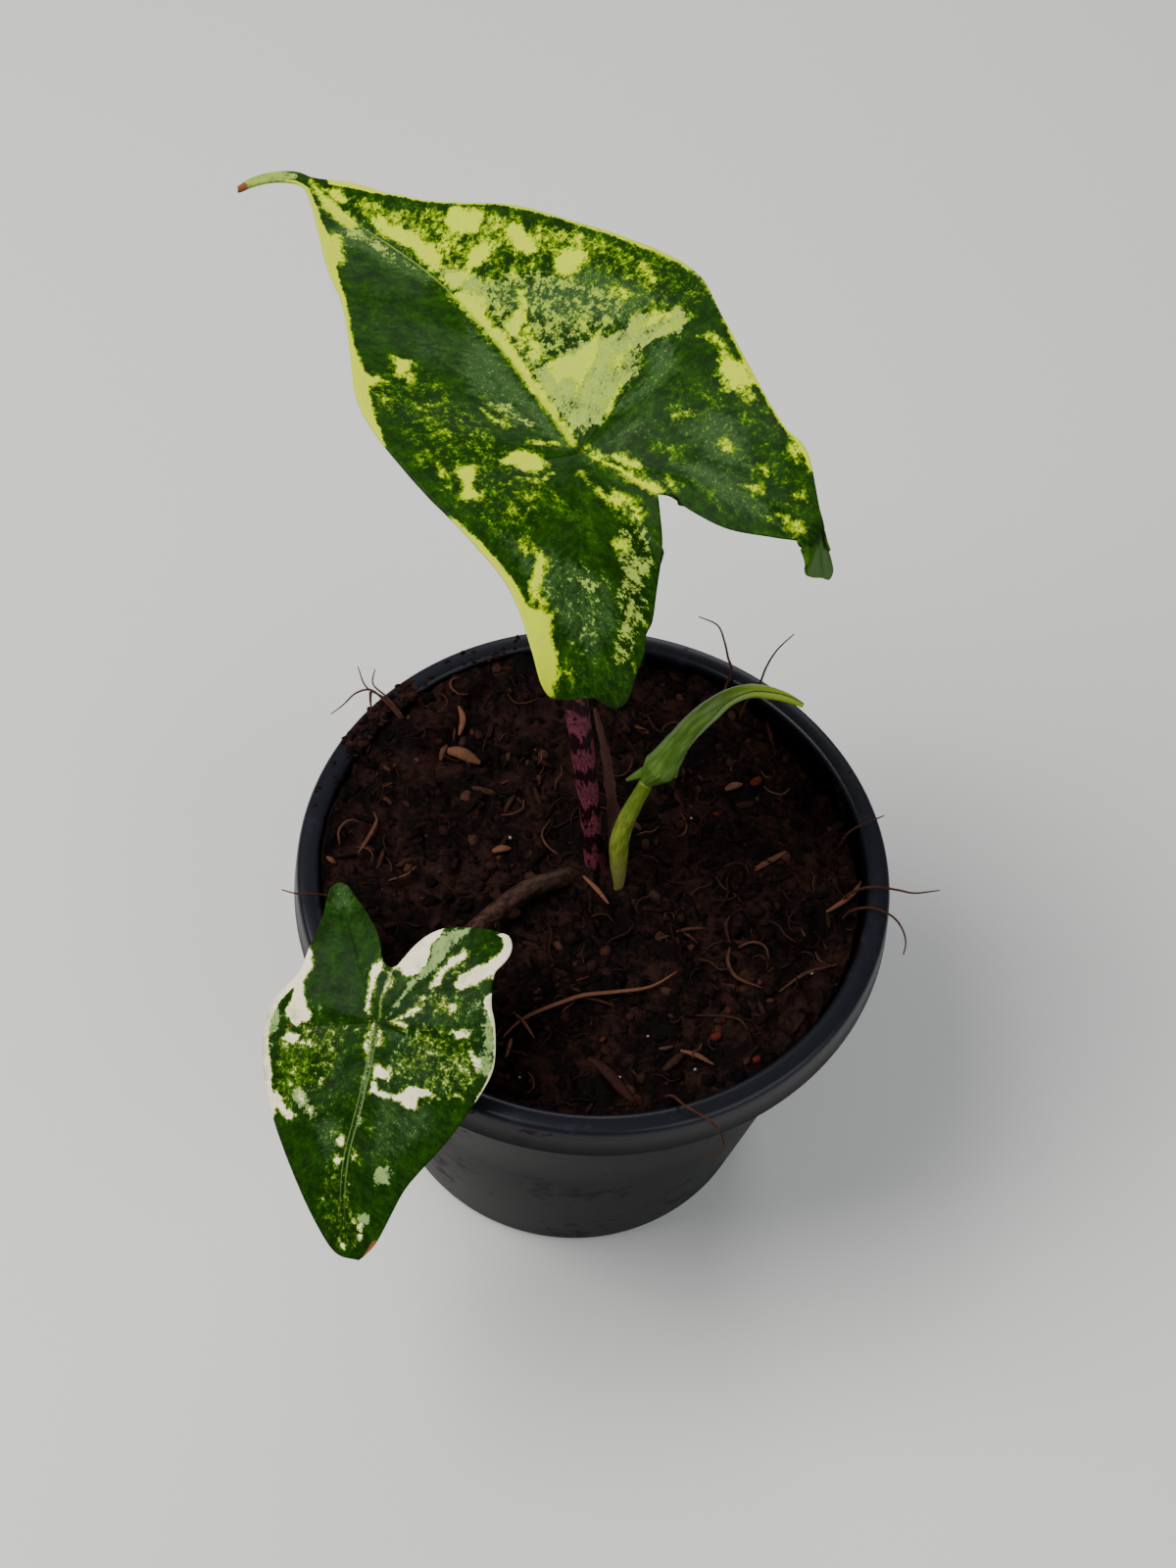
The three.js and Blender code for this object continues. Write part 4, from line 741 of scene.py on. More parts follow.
def sweep(name, points, along, across, section):
    """A closed tube along a line. section(share, angle) gives two offsets across it."""
    line = curve(points)
    middle, sides, ups = frames(line, np.linspace(0, 1, along + 1))
    piece, u, v = grid(name, along, across)
    row, angle = np.rint(u * along).astype(int), TURN * v
    a, b = section(u, angle)
    put_points(piece, middle[row] + sides[row] * a[:, None] + ups[row] * b[:, None])
    length = np.linalg.norm(np.diff(line(np.linspace(0, 1, 400)), axis=0), axis=1).sum()
    keep(piece, "stalk", u * length, np.cos(angle), np.sin(angle))
    weld(piece)
    return piece


def round_section(radii, extra=lambda u, a: 0):
    """A round section whose radius is read along the line, with something extra on it."""
    read = steady(radii)
    return lambda u, a: ((read(u) + extra(u, a)) * np.cos(a), (read(u) + extra(u, a)) * np.sin(a))


def lumps(x, y, size, shift):
    """Smooth noise from -1 to 1 with bumps about `size` across, the same as the solids have."""
    def corner(i, j):
        mixed = np.sin(i * 127.1 + j * 311.7 + shift * 74.7) * 43758.5453
        return 2 * (mixed - np.floor(mixed)) - 1
    u, v = x / size, y / size
    i, j = np.floor(u), np.floor(v)
    s, t = u - i, v - j
    s, t = s * s * (3 - 2 * s), t * t * (3 - 2 * t)
    low = corner(i, j) * (1 - s) + corner(i + 1, j) * s
    high = corner(i, j + 1) * (1 - s) + corner(i + 1, j + 1) * s
    return low * (1 - t) + high * t


# Leaves

def blade_frame(leaf):
    yaw, nose, bank = (math.radians(leaf[key]) for key in ("yaw", "nose", "bank"))
    return Matrix.Rotation(yaw, 3, "Z") @ Matrix.Rotation(-nose, 3, "Y") @ Matrix.Rotation(bank, 3, "X")


def blade_point(leaf, half, x, y):
    """The blade's middle surface over flat points, with the end of each lobe bent down."""
    rise, side, lobe = (
        np.where(y > 0, leaf["left"][key], leaf["right"][key]) for key in ("rise", "side", "lobe"))
    shoulder = np.sqrt(y * y + 4) - 2
    z = (rise * shoulder - y * y / (2 * side) - np.maximum(x, 0) ** 2 / (2 * leaf["arch"])
         - np.maximum(-x, 0) ** 2 / (2 * lobe))
    out = np.array(half["vein"][-1]) / np.linalg.norm(half["vein"][-1])
    start, radius, angle = half["fold"]
    past = np.maximum(x * out[0] + y * out[1] - start, 0)
    turned = np.minimum(past / radius, math.radians(angle))
    straight = past - turned * radius
    forward = radius * np.sin(turned) + straight * np.cos(turned) - past
    down = radius * (1 - np.cos(turned)) + straight * np.sin(turned)
    return np.stack([x + out[0] * forward, y + out[1] * forward, z - down], -1)


def blade_normal(leaf, half, x, y):
    step = 0.05
    east = blade_point(leaf, half, x + step, y) - blade_point(leaf, half, x - step, y)
    north = blade_point(leaf, half, x, y + step) - blade_point(leaf, half, x, y - step)
    normal = np.cross(east, north)
    return normal / np.linalg.norm(normal, axis=1)[:, None]


def inside(points, corners):
    """The distance from flat points to a shape's edge, positive inside it."""
    corners = np.array(corners, float)
    nearest = np.full(len(points), 1e9)
    within = np.zeros(len(points), bool)
    for a, b in zip(corners, np.roll(corners, -1, axis=0)):
        edge = b - a
        share = np.clip((points - a) @ edge / (edge @ edge), 0, 1)
        nearest = np.minimum(nearest, np.linalg.norm(points - a - share[:, None] * edge, axis=1))
        if a[1] != b[1]:
            spans = (a[1] > points[:, 1]) != (b[1] > points[:, 1])
            crossing = a[0] + (points[:, 1] - a[1]) * edge[0] / edge[1]
            within ^= spans & (points[:, 0] < crossing)
    return np.where(within, nearest, -nearest)


def marking(points, shapes, soft):
    """The strongest weight of the shapes at each point, with an edge `soft` millimetres wide."""
    strength = np.full(len(points), BARE)
    for weight, corners in shapes:
        cover = np.clip(0.5 + inside(points, corners) / soft, 0, 1)
        strength = np.maximum(strength, BARE + (weight - BARE) * cover)
    return strength


def stripe(x, edge, widths, soft):
    """The strength of a stripe along the rim, where `edge` is the distance to it."""
    places, sizes = zip(*sorted(widths))
    cover = np.clip(0.5 + (np.interp(x, places, sizes, left=-1, right=-1) - edge) / soft, 0, 1)
    return BARE + (STRIPE_WEIGHT - BARE) * cover


def stray(flat, reach, soft):
    """Flat points moved a little where they are clear of a vein, so that a marking's edge wanders."""
    x, y = flat.T / soft
    wander = [lumps(x, y, 1.2, 40 + k) + 0.5 * lumps(x, y, 0.6, 42 + k) for k in range(2)]
    clear = np.clip((reach - 1.5) / 4, 0, 1)
    return flat + np.stack(wander, 1) * soft * 0.28 * clear[:, None]


def patch_layout(leaf, half, front, u, v):
    """The flat points of one patch of a blade, their rows, and how long each row is."""
    vein, outer, inner = (curve(half[key]) for key in ("vein", "outer", "inner"))
    rows = leaf["rows"]
    if front:
        stops, fine_stops = np.cumsum((0,) + rows), np.cumsum((0,) + leaf["fine"])
        row = np.interp(u * fine_stops[-1], fine_stops, stops)
        on_midrib, on_vein = np.clip(row / rows[0], 0, 1), np.clip((row - stops[2]) / rows[2], 0, 1)
        root = curve(leaf["midrib"])(on_midrib) + vein(on_vein)
        rim = outer(np.interp(row, stops, (0, *half["fan"], 1)))
    else:
        row = u * rows[2]
        root, rim = vein(u), inner(u)
    return root + (rim - root) * v[:, None], row, np.linalg.norm(rim - root, axis=1)


def patch_relief(x, y, row, v, length, from_vein, front):
    """How far the upper face stands over the blade's middle, with its rib, side veins and crinkles."""
    full = np.minimum(1, length / 12)
    reach = length * v
    rib = 0.22 * np.exp(-((reach / 0.45) ** 2)) - 0.4 * np.exp(-((reach / 1.8) ** 2))
    crinkle = 0.1 * lumps(x, y, 3.1, 5) + 0.14 * lumps(x, y, 7.3, 6)
    if not front:
        return (rib + crinkle) * full
    swell = -0.35 * np.sin(math.pi * v) * np.cos(TURN * row / VEIN_ROWS)
    groove = 0.16 * np.exp(-((from_vein / 0.7) ** 2)) * (1 - v)
    return (rib + crinkle + swell - groove) * full


def build_patch(name, leaf, marks, hand, front):
    """One patch of a blade: from its midrib and vein out to the rim, or behind the vein to the inner rim.

    hand is 1 for the left half and -1 for the right one."""
    side = "left" if hand > 0 else "right"
    piece, u, v = grid(name, sum(leaf["fine"]) if front else leaf["fine"][2], leaf["columns"])
    flat, row, length = patch_layout(leaf, leaf[side], front, u, v)
    x, y = flat.T
    from_vein = np.abs((row + VEIN_ROWS / 2) % VEIN_ROWS - VEIN_ROWS / 2) * ROW_PITCH
    top = leaf["thickness"] / 2 + patch_relief(x, y, row, v, length, from_vein, front)
    placed = blade_point(leaf, leaf[side], x, y) + blade_normal(leaf, leaf[side], x, y) * top[:, None]
    put_points(piece, placed @ np.array(blade_frame(leaf)).T + np.array(leaf["at"]))

    reach = length * v
    strayed = stray(flat, reach, marks["soft"])
    strong = marking(strayed, marks["strong"], marks["soft"])
    if front:
        edge = np.where(v < 1, length - reach, 0)
        strong = np.maximum(strong, stripe(x, edge, marks[side], 0.9))
    pale = marking(strayed, marks["pale"], marks["soft"] + 0.8)
    # The sheen shapes say where a grey reflection is painted on the green, as a painted sheen
    wide = ("grey_green_and_painted_sheen", 5), ("fresh", 5), ("brown", 1.2), ("dark", 1.2)
    grey_green_and_painted_sheen, *touches = (np.clip(marking(flat, marks[key], soft), 0, 1) for key, soft in wide)
    away = (0, 0) if front else (BEHIND_ROWS, BEHIND_VEIN)
    keep(piece, "flat", x, y, np.full(len(x), HAND_SHIFT * hand))
    keep(piece, "vein", row * ROW_PITCH + away[0], reach, from_vein + away[1])
    keep(piece, "marks", strong, pale, grey_green_and_painted_sheen)
    keep(piece, "touches", *touches)
    keep(piece, "thick", leaf["thickness"] + leaf["ridge"] * np.exp(-((reach / 1.1) ** 2)))
    if (hand > 0) == front:
        with edit(piece):
            bpy.ops.mesh.flip_normals()
    return piece


def build_blade(name, leaf, marks):
    """A blade with its veins, and for its shader the markings and the place of each point."""
    patches = [build_patch(name, leaf, marks, hand, front) for hand in (1, -1) for front in (True, False)]
    blade = join(name, patches)
    with edit(blade):
        bpy.ops.mesh.remove_doubles(threshold=0.004 * MM)
    most = leaf["thickness"] + leaf["ridge"]
    depths = np.empty(len(blade.data.vertices), np.float32)
    blade.data.attributes["thick"].data.foreach_get("value", depths)
    group = blade.vertex_groups.new(name="thick")
    for index, depth in enumerate(depths):
        group.add([index], float(depth) / most, "REPLACE")
    apply(blade, "SOLIDIFY", thickness=most * MM, offset=-1, vertex_group="thick", use_even_offset=False,
          material_offset=1)
    blade.vertex_groups.clear()
    blade.data.attributes.remove(blade.data.attributes["thick"])
    smooth_shade(blade)
    return blade


def leaf_finish(name, greens, limes, strong, pale, grey_green_and_painted_sheen, rib):
    """A waxy leaf: dark and mid green, with ragged markings that fade through lime, and a painted grey sheen
    that stands in for reflected light.

    rib says where the pale line of the midrib lies, and between which places along the leaf it ends."""
    finish = Finish(name, Specular_IOR_Level=0.06)
    flat = finish.attribute("flat")
    x, _, _ = finish.parts(flat)
    row, reach, _ = finish.parts(finish.attribute("vein"))
    filled, thin, painted_sheen_marks = finish.parts(finish.attribute("marks"))
    fresh, brown, dark = finish.parts(finish.attribute("touches"))
    along_veins = finish.vector(row, reach * 0.42, reach * 0.1)
    blot = finish.noise(flat, 0.3, 2, 0.5) - 0.5
    streak = finish.noise(along_veins, 0.7, 6, 0.7) - 0.5
    ragged = finish.noise(flat, 0.9, 6, 0.68) - 0.5
    fleck = finish.noise(flat, 2.4, 4, 0.65) - 0.5
    uneven = blot * 1.1 + ragged * 2 + fleck + streak * 0.7

    tone = finish.smooth(streak * 0.7 + ragged * 0.7 + fleck * 0.5 + blot * 0.6, -0.2, 0.3)
    colour = finish.mix(tone, greens[0], greens[1])
    colour = finish.mix(finish.smooth(fresh + ragged * 1.6 + fleck * 0.6, 0.35, 0.9) * 0.8, colour, greens[2])
    # Painted sheen: where the sheen marks lie, a grey reflection of the lamps is painted into the colour,
    # flecked with pale
    painted_sheen = finish.smooth(painted_sheen_marks + streak * 1.4 + ragged * 0.8, 0.15, 0.95)
    painted_sheen_colour = finish.mix(finish.smooth(fleck * 2 + ragged, 0.1, 0.5), grey_green_and_painted_sheen, pale)
    colour = finish.mix(painted_sheen * 0.6, colour, painted_sheen_colour)
    pale_mask = finish.smooth(thin + uneven * 0.9, 0.36, 0.58)
    # The same grey green is also the darker end of the pale patches, which are the leaf's own colour
    pale_tone = finish.mix(finish.smooth(fleck + streak + blot * 0.8, -0.45, 0.12), grey_green_and_painted_sheen, pale)
    colour = finish.mix(pale_mask * 0.92, colour, pale_tone)

    value = filled + uneven
    colour = finish.mix(finish.smooth(value, 0.04, 0.28) * (1 - pale_mask) * 0.6, colour, limes[0])
    colour = finish.mix(finish.smooth(value, 0.28, 0.42), colour, limes[1])
    paler = finish.smooth(blot * 0.8 + streak + ragged * 0.5 + thin * 0.3 + filled * 0.25, 0.15, 0.6)
    colour = finish.mix(finish.smooth(value, 0.44, 0.6), colour, finish.mix(paler * 0.55, strong, pale))

    beside, fades, ends = rib
    line = 1 - finish.smooth(finish.maths("ABSOLUTE", reach - beside), 0.06, 0.24)
    line = line * finish.smooth(x, 0, 7) * (1 - finish.smooth(x, fades, ends))
    # The midrib's pale line shows a little more where the sheen is painted
    colour = finish.mix(line * (0.35 + painted_sheen_marks * 0.2), colour, pale)
    colour = finish.mix(finish.smooth(brown + fleck * 0.6, 0.3, 0.7), colour, tint(128, 78, 48))
    colour = finish.mix(finish.smooth(dark + fleck * 0.6, 0.4, 0.8) * 0.8, colour, tint(22, 20, 12))
    finish.set(Base_Color=colour)
    finish.set(Roughness=0.46 + fleck * 0.2 + painted_sheen * 0.08)
    pores = finish.noise(flat, 5.5, 2, 0.5)
    finish.set(Normal=finish.relief(pores * 0.5 + fleck, 0.35, 0.12))
    return finish


def under_finish(name, colour, vein_colour):
    """The paler underside, with its veins standing proud."""
    finish = Finish(name, Specular_IOR_Level=0.35, Roughness=0.55)
    flat = finish.attribute("flat")
    _, reach, from_vein = finish.parts(finish.attribute("vein"))
    filled, _, _ = finish.parts(finish.attribute("marks"))
    blot = finish.noise(flat, 0.5, 5, 0.65)
    mask = finish.smooth(filled + (blot - 0.5) * 2.4, 0.4, 0.6)
    veins = 1 - finish.smooth(reach, 0.8, 1.6) * finish.smooth(from_vein, 0.2, 0.9)
    under = finish.mix(finish.smooth(blot, 0.35, 0.7), colour, vein_colour)
    under = finish.mix(mask * 0.7, under, tint(196, 200, 120))
    finish.set(Base_Color=finish.mix(veins * 0.6, under, vein_colour))
    finish.set(Normal=finish.relief(veins + finish.noise(flat, 1.4, 3, 0.6) * 0.3, 0.4, 0.2))
    return finish


def build_leaves():
    large = build_blade("large_leaf", LARGE_BLADE, {
        "strong": LARGE_YELLOW, "pale": LARGE_PALE, "grey_green_and_painted_sheen": LARGE_PAINTED_SHEEN, "fresh": LARGE_FRESH,
        "brown": LARGE_BROWN, "dark": LARGE_DARK, "left": LARGE_LEFT_STRIPE, "right": LARGE_RIGHT_STRIPE,
        "soft": 2.8,
    })
    # The grey green is laid on as a painted sheen, and is also the darker end of the pale patches
    top = leaf_finish(
        "variegated_green_leaf",
        greens=(tint(13, 38, 0), tint(33, 72, 0), tint(52, 94, 0)),
        limes=(tint(84, 122, 0), tint(140, 164, 4)),
        strong=tint(190, 206, 24), pale=tint(156, 180, 74), grey_green_and_painted_sheen=tint(60, 88, 50), rib=(0, 60, 92))
    under = under_finish("leaf_underside", tint(78, 116, 44), tint(130, 150, 80))
    finish_piece(large, "large_leaf", (top, under), "large_blade")

    small = build_blade("small_leaf", SMALL_BLADE, {
        "strong": SMALL_CREAM, "pale": SMALL_PALE, "grey_green_and_painted_sheen": SMALL_PAINTED_SHEEN, "fresh": SMALL_FRESH,
        "brown": SMALL_BROWN, "dark": SMALL_DARK, "left": SMALL_LEFT_STRIPE, "right": SMALL_RIGHT_STRIPE,
        "soft": 1.8,
    })
    # The grey green is laid on as a painted sheen, and is also the darker end of the pale patches
    top = leaf_finish(
        "cream_and_green_leaf",
        greens=(tint(10, 34, 0), tint(28, 66, 0), tint(58, 100, 4)),
        limes=(tint(84, 118, 14), tint(150, 166, 74)),
        strong=tint(250, 238, 206), pale=tint(136, 164, 96), grey_green_and_painted_sheen=tint(54, 82, 44), rib=(0.55, 26, 40))
    finish_piece(small, "small_leaf", (top, under), "small_blade")


# Stalks

def build_stalk(name, shape, along, around, ripple):
    stalk = sweep(name, shape["line"], along, around, round_section(shape["radii"], ripple))
    smooth_shade(stalk)
    return stalk


class StalkFinish(Finish):
    """A finish for what is swept along a line: the length along it, and the cosine and sine round it."""

    def __init__(self, name, **constants):
        super().__init__(name, **constants)
        self.length, self.cosine, self.sine = self.parts(self.attribute("stalk"))

    def wrap(self, along, across):
        """A place for noise that closes round the stalk without a seam."""
        return self.vector(self.length * along, self.cosine * across, self.sine * across)


def build_large_stalk():
    stalk = build_stalk("large_stalk", LARGE_STEM, 160, 28, lambda u, a: 0.05 * np.sin(5 * a + 9 * u))
    banded = StalkFinish("banded_stalk", Specular_IOR_Level=0.15)
    wander = banded.noise(banded.wrap(0.12, 0.9), 1.6, 4, 0.6)
    zigzag = banded.noise(banded.wrap(0.5, 2.2), 1.3, 3, 0.7)
    phase = banded.length * 0.105 + (wander - 0.5) * 1.5 + (zigzag - 0.5) * 0.9
    band = banded.smooth(banded.maths("SINE", phase * TURN) + (zigzag - 0.5) * 1.6, -0.15, 0.35)
    fleck = banded.noise(banded.wrap(0.6, 3), 2.5, 3, 0.6)
    skin = banded.mix(banded.smooth(fleck, 0.35, 0.7), tint(68, 27, 37), tint(116, 58, 70))
    banded.set(Base_Color=banded.mix(band, skin, banded.mix(fleck, tint(14, 3, 6), tint(36, 8, 16))))
    banded.set(Roughness=0.42 + (fleck - 0.5) * 0.2)
    banded.set(Normal=banded.relief(fleck + band * 0.3, 0.3, 0.15))
    finish_piece(stalk, "banded_stem", (banded,), "large_stem")


def build_small_stalk():
    stalk = build_stalk("small_stalk", SMALL_STEM, 130, 24, lambda u, a: 0.06 * np.sin(3 * a + 20 * u))
    mottled = StalkFinish("mottled_stalk", Specular_IOR_Level=0.12)
    place = mottled.wrap(0.35, 1.6)
    mottle = mottled.noise(place, 1.5, 5, 0.65)
    fleck = mottled.noise(place, 5, 3, 0.6)
    old = 1 - mottled.smooth(mottled.length, 6, 26)
    skin = mottled.mix(mottled.smooth(mottle, 0.4, 0.62), tint(32, 17, 13), tint(66, 42, 36))
    skin = mottled.mix(old * 0.5, skin, tint(34, 24, 12))
    mottled.set(Base_Color=mottled.mix(mottled.smooth(fleck, 0.55, 0.7) * 0.7, skin, tint(16, 8, 6)))
    mottled.set(Roughness=0.5 + (mottle - 0.5) * 0.2)
    mottled.set(Normal=mottled.relief(fleck, 0.3, 0.15))
    finish_piece(stalk, "mottled_stem", (mottled,), "small_stem")


def build_new_stalk():
    stalk = build_stalk("new_stalk", NEW_STEM, 90, 24, lambda u, a: 0.05 * np.sin(2 * a + 5 * u))
    lime = StalkFinish("lime_stalk", Specular_IOR_Level=0.15)
    place = lime.wrap(0.18, 1)
    tone = lime.noise(place, 2, 4, 0.6)
    grown = lime.smooth(lime.length, 18, 28)
    skin = lime.mix(lime.smooth(tone, 0.35, 0.65), tint(80, 92, 24), tint(112, 124, 44))
    skin = lime.mix((1 - lime.smooth(lime.length, 5, 17)) * 0.7, skin, tint(106, 94, 58))
    lime.set(Base_Color=lime.mix(grown * 0.5, skin, tint(84, 112, 34)))
    lime.set(Roughness=0.4 + (tone - 0.5) * 0.15)
    lime.set(Normal=lime.relief(lime.noise(place, 6, 3, 0.6), 0.2, 0.1))
    finish_piece(stalk, "lime_stem", (lime,), "new_stem")


def build_new_leaf():
    """The new leaf: a roll whose free edge stands proud as a step that winds slowly along it."""
    radius = steady(SPEAR["radii"])

    def rolled(u, a):
        turn = (a - SEAM_START - SEAM_TURN * u) % TURN
        grown = radius(u) * (0.86 + 0.26 * (turn / TURN) ** 1.5)
        return grown * np.cos(a), grown * np.sin(a)

    roll = sweep("rolled_blade", SPEAR["line"], 120, 72, rolled)
    lobes = [sweep("rolled_lobe", lobe["line"], 20, 20, round_section(lobe["radii"])) for lobe in SPEAR_LOBES]
    spear = join("new_leaf", [roll, *lobes])
    smooth_shade(spear, 50)
    fresh = StalkFinish("fresh_green_leaf", Specular_IOR_Level=0.15)
    tone = fresh.noise(fresh.wrap(0.1, 1.5), 2.2, 4, 0.6)
    grain = fresh.noise(fresh.wrap(0.5, 3), 3, 4, 0.6)
    skin = fresh.mix(fresh.smooth(tone, 0.35, 0.65), tint(60, 92, 26), tint(86, 114, 46))
    pale = fresh.smooth(tone + (grain - 0.5) * 0.8, 0.6, 0.72)
    skin = fresh.mix(pale * 0.25, skin, tint(126, 148, 84))
    seam = fresh.length * (SEAM_TURN / SPEAR_LENGTH) + SEAM_START
    seam_cosine, seam_sine = fresh.maths("COSINE", seam), fresh.maths("SINE", seam)
    past_seam = fresh.sine * seam_cosine - fresh.cosine * seam_sine
    same_side = fresh.smooth(fresh.cosine * seam_cosine + fresh.sine * seam_sine, 0, 0.3)
    # Painted sheen: a paler strip on the layer beside the roll's free edge
    painted_sheen_strip = fresh.smooth(past_seam, 0.1, 0.2) * (1 - fresh.smooth(past_seam, 0.6, 0.85)) * same_side
    skin = fresh.mix(painted_sheen_strip * 0.6, skin, tint(140, 160, 104))
    # Painted shade: a dark line along the seam, where the roll's free edge shades the layer under it
    painted_seam_shade = fresh.smooth(past_seam, -0.03, 0.02) * (1 - fresh.smooth(past_seam, 0.1, 0.2)) * same_side
    skin = fresh.mix(painted_seam_shade * 0.8, skin, tint(26, 44, 14))
    tip = fresh.smooth(fresh.length, 22, 36)
    fresh.set(Base_Color=fresh.mix(tip * (1 - painted_seam_shade) * 0.75, skin, tint(146, 166, 34)))
    fresh.set(Roughness=0.36 + (grain - 0.5) * 0.2)
    fresh.set(Normal=fresh.relief(grain, 0.25, 0.12))
    finish_piece(spear, "new_leaf", (fresh,), "new_blade")


def build_sheath():
    """The dry sheath: a thin curled strip with uneven edges."""
    width = steady(SHEATH_WIDTHS)

    def papery(u, a):
        half = width(u) / 2 * (1 + 0.12 * np.sin(37 * u) + 0.08 * np.sin(91 * u + 2))
        curl = 0.45 * np.cos(a) ** 2
        return half * np.cos(a), 0.2 * np.sin(a) + curl

    sheath = sweep("papery_sheath", SHEATH_LINE, 90, 20, papery)
    smooth_shade(sheath)
    dry = StalkFinish("dry_sheath", Specular_IOR_Level=0.2, Roughness=0.8)
    fibre = dry.noise(dry.vector(dry.length * 0.06, dry.cosine * 5, dry.sine * 2), 3, 4, 0.6)
    fleck = dry.noise(dry.wrap(0.8, 2), 1.6, 4, 0.65)
    skin = dry.mix(fibre, tint(70, 42, 38), tint(106, 70, 62))
    dry.set(Base_Color=dry.mix(dry.smooth(fleck, 0.58, 0.68), skin, tint(44, 24, 22)))
    dry.set(Normal=dry.relief(fibre, 0.6, 0.3))
    finish_piece(sheath, "dry_sheath", (dry,), "dry_sheath")


# Pot

def build_pot():
    """The pot turned on a lathe, with its lip folded down outside, and holes cut in its base."""
    pot, u, v = grid("nursery_pot", len(POT_PROFILE) - 1, 180)
    radius, height = np.array(POT_PROFILE)[np.rint(u * (len(POT_PROFILE) - 1)).astype(int)].T
    radius = radius + 0.12 * np.sin(3 * TURN * v + 1) * (height / POT_HEIGHT) ** 3
    put_points(pot, np.stack([radius * np.cos(TURN * v), radius * np.sin(TURN * v), height], 1))
    weld(pot)
    drills = []
    for k in range(DRAIN_HOLES):
        angle = TURN * k / DRAIN_HOLES
        hole = Vector((DRAIN_RING * math.cos(angle), DRAIN_RING * math.sin(angle), 2)) * MM
        bpy.ops.mesh.primitive_cylinder_add(
            vertices=24, radius=DRAIN_RADIUS * MM, depth=8 * MM, location=hole)
        drills.append(bpy.context.object)
    drill = join("drill", drills)
    apply(pot, "BOOLEAN", operation="DIFFERENCE", object=drill, solver="EXACT")
    bpy.data.objects.remove(drill)
    smooth_shade(pot, 40)

    plastic = Finish(
        "black_plastic", Specular_IOR_Level=0.03, Coat_Roughness=0.3, Coat_Tint=(0.8, 0.84, 1, 1))
    place = plastic.object_place()
    _, _, z = plastic.parts(place)
    cloud = plastic.noise(place, 40, 4, 0.6)
    dust = plastic.noise(place, 260, 4, 0.7)
    worn = plastic.smooth(cloud + (dust - 0.5) * 0.9, 0.55, 0.75)
    high = plastic.smooth(z, 86 * MM, 95 * MM)
    # Painted highlight: the top of the lip is painted a lighter blue grey where light catches it, more so
    # where it is worn
    painted_lip_highlight = plastic.smooth(z, 92.5 * MM, 94.5 * MM)
    tone = plastic.mix(worn * 0.5, tint(3, 3, 5), tint(12, 12, 16))
    tone = plastic.mix(painted_lip_highlight * (0.4 + worn * 0.6), tone, tint(30, 31, 40))
    soiled = plastic.smooth(dust + (cloud - 0.5) * 0.9, 0.66, 0.74) * high
    plastic.set(Base_Color=plastic.mix(soiled * 0.7, tone, tint(46, 30, 24)))
    plastic.set(Roughness=0.4 + worn * 0.12 + soiled * 0.3)
    plastic.set(Coat_Weight=high * (1 - soiled) * 0.45)
    plastic.set(Normal=plastic.relief(dust + soiled, 0.15, 0.15))
    finish_piece(pot, "pot_plastic", (plastic,), "pot")


# Soil

def pot_inside(height):
    (low_radius, low), (high_radius, high) = INSIDE_FOOT, INSIDE_TOP
    return low_radius + (high_radius - low_radius) * (height - low) / (high - low)


def soil_height(x, y):
    height = SOIL_LEVEL + 0.6 * lumps(x, y, 11, 1) + 0.75 * lumps(x, y, 4.3, 2)
    for px, py, rise, spread in HEAPS:
        height = height + rise * np.exp(-((x - px) ** 2 + (y - py) ** 2) / (2 * spread**2))
    return height


def clumps(x, y):
    """Rounded clumps with creases between them."""
    sizes = ((1.5, 3.7, 21), (0.9, 1.9, 22), (0.5, 1.1, 23))
    return sum(rise * (np.abs(lumps(x, y, spread, shift)) - 0.35) for rise, spread, shift in sizes)


def build_ground():
    """The soil as one closed piece that stands a little clear of the pot, with clumps on top."""
    gap, rings, sectors = 0.3, 100, 480
    side = [(0.4, 3.1), (39.3, 3.1), (40.2, 5.3), (pot_inside(50) - gap, 50), (pot_inside(83) - gap, 83)]
    radii, heights = np.array(side).T
    last = len(side) + rings
    ground, u, v = grid("soil_ground", last, sectors)
    row, angle = np.rint(u * last).astype(int), TURN * v
    rim = pot_inside(SOIL_LEVEL)
    rim_height = soil_height(rim * np.cos(angle), rim * np.sin(angle))
    edge = pot_inside(np.minimum(rim_height, POT_HEIGHT - 2)) - gap
    top = row >= len(side)
    share = np.clip((last - row) / rings, 0.004, 1)
    low = np.minimum(row, len(side) - 1)
    radius = np.where(top, edge * share, radii[low])
    x, y = radius * np.cos(angle), radius * np.sin(angle)
    put_points(ground, np.stack([x, y, np.where(top, soil_height(x, y) + clumps(x, y), heights[low])], 1))
    weld(ground)
    smooth_shade(ground)
    return ground


def bit_models():
    """Crumbs and chips of bark, as worn spheres of different proportions."""
    models = []
    for seed, sizes in enumerate(BIT_SIZES):
        bpy.ops.mesh.primitive_uv_sphere_add(segments=7, ring_count=5, radius=1)
        model = bpy.context.object
        points = points_of(model) * sizes
        x, y, z = points.T
        points *= (1 + 0.35 * lumps(x + 0.7 * z, y - 0.6 * z, 0.8, 30 + seed))[:, None]
        put_points(model, points)
        with edit(model):  # Blender gives a sphere's faces in no fixed order
            bpy.ops.mesh.sort_elements(type="CURSOR_DISTANCE", elements={"FACE"})
        models.append(model)
    return models


def fibre_models():
    return [sweep("fibre", bend, 8, 4, round_section((0.22, 0.3, 0.26, 0.12))) for bend in FIBRE_BENDS]


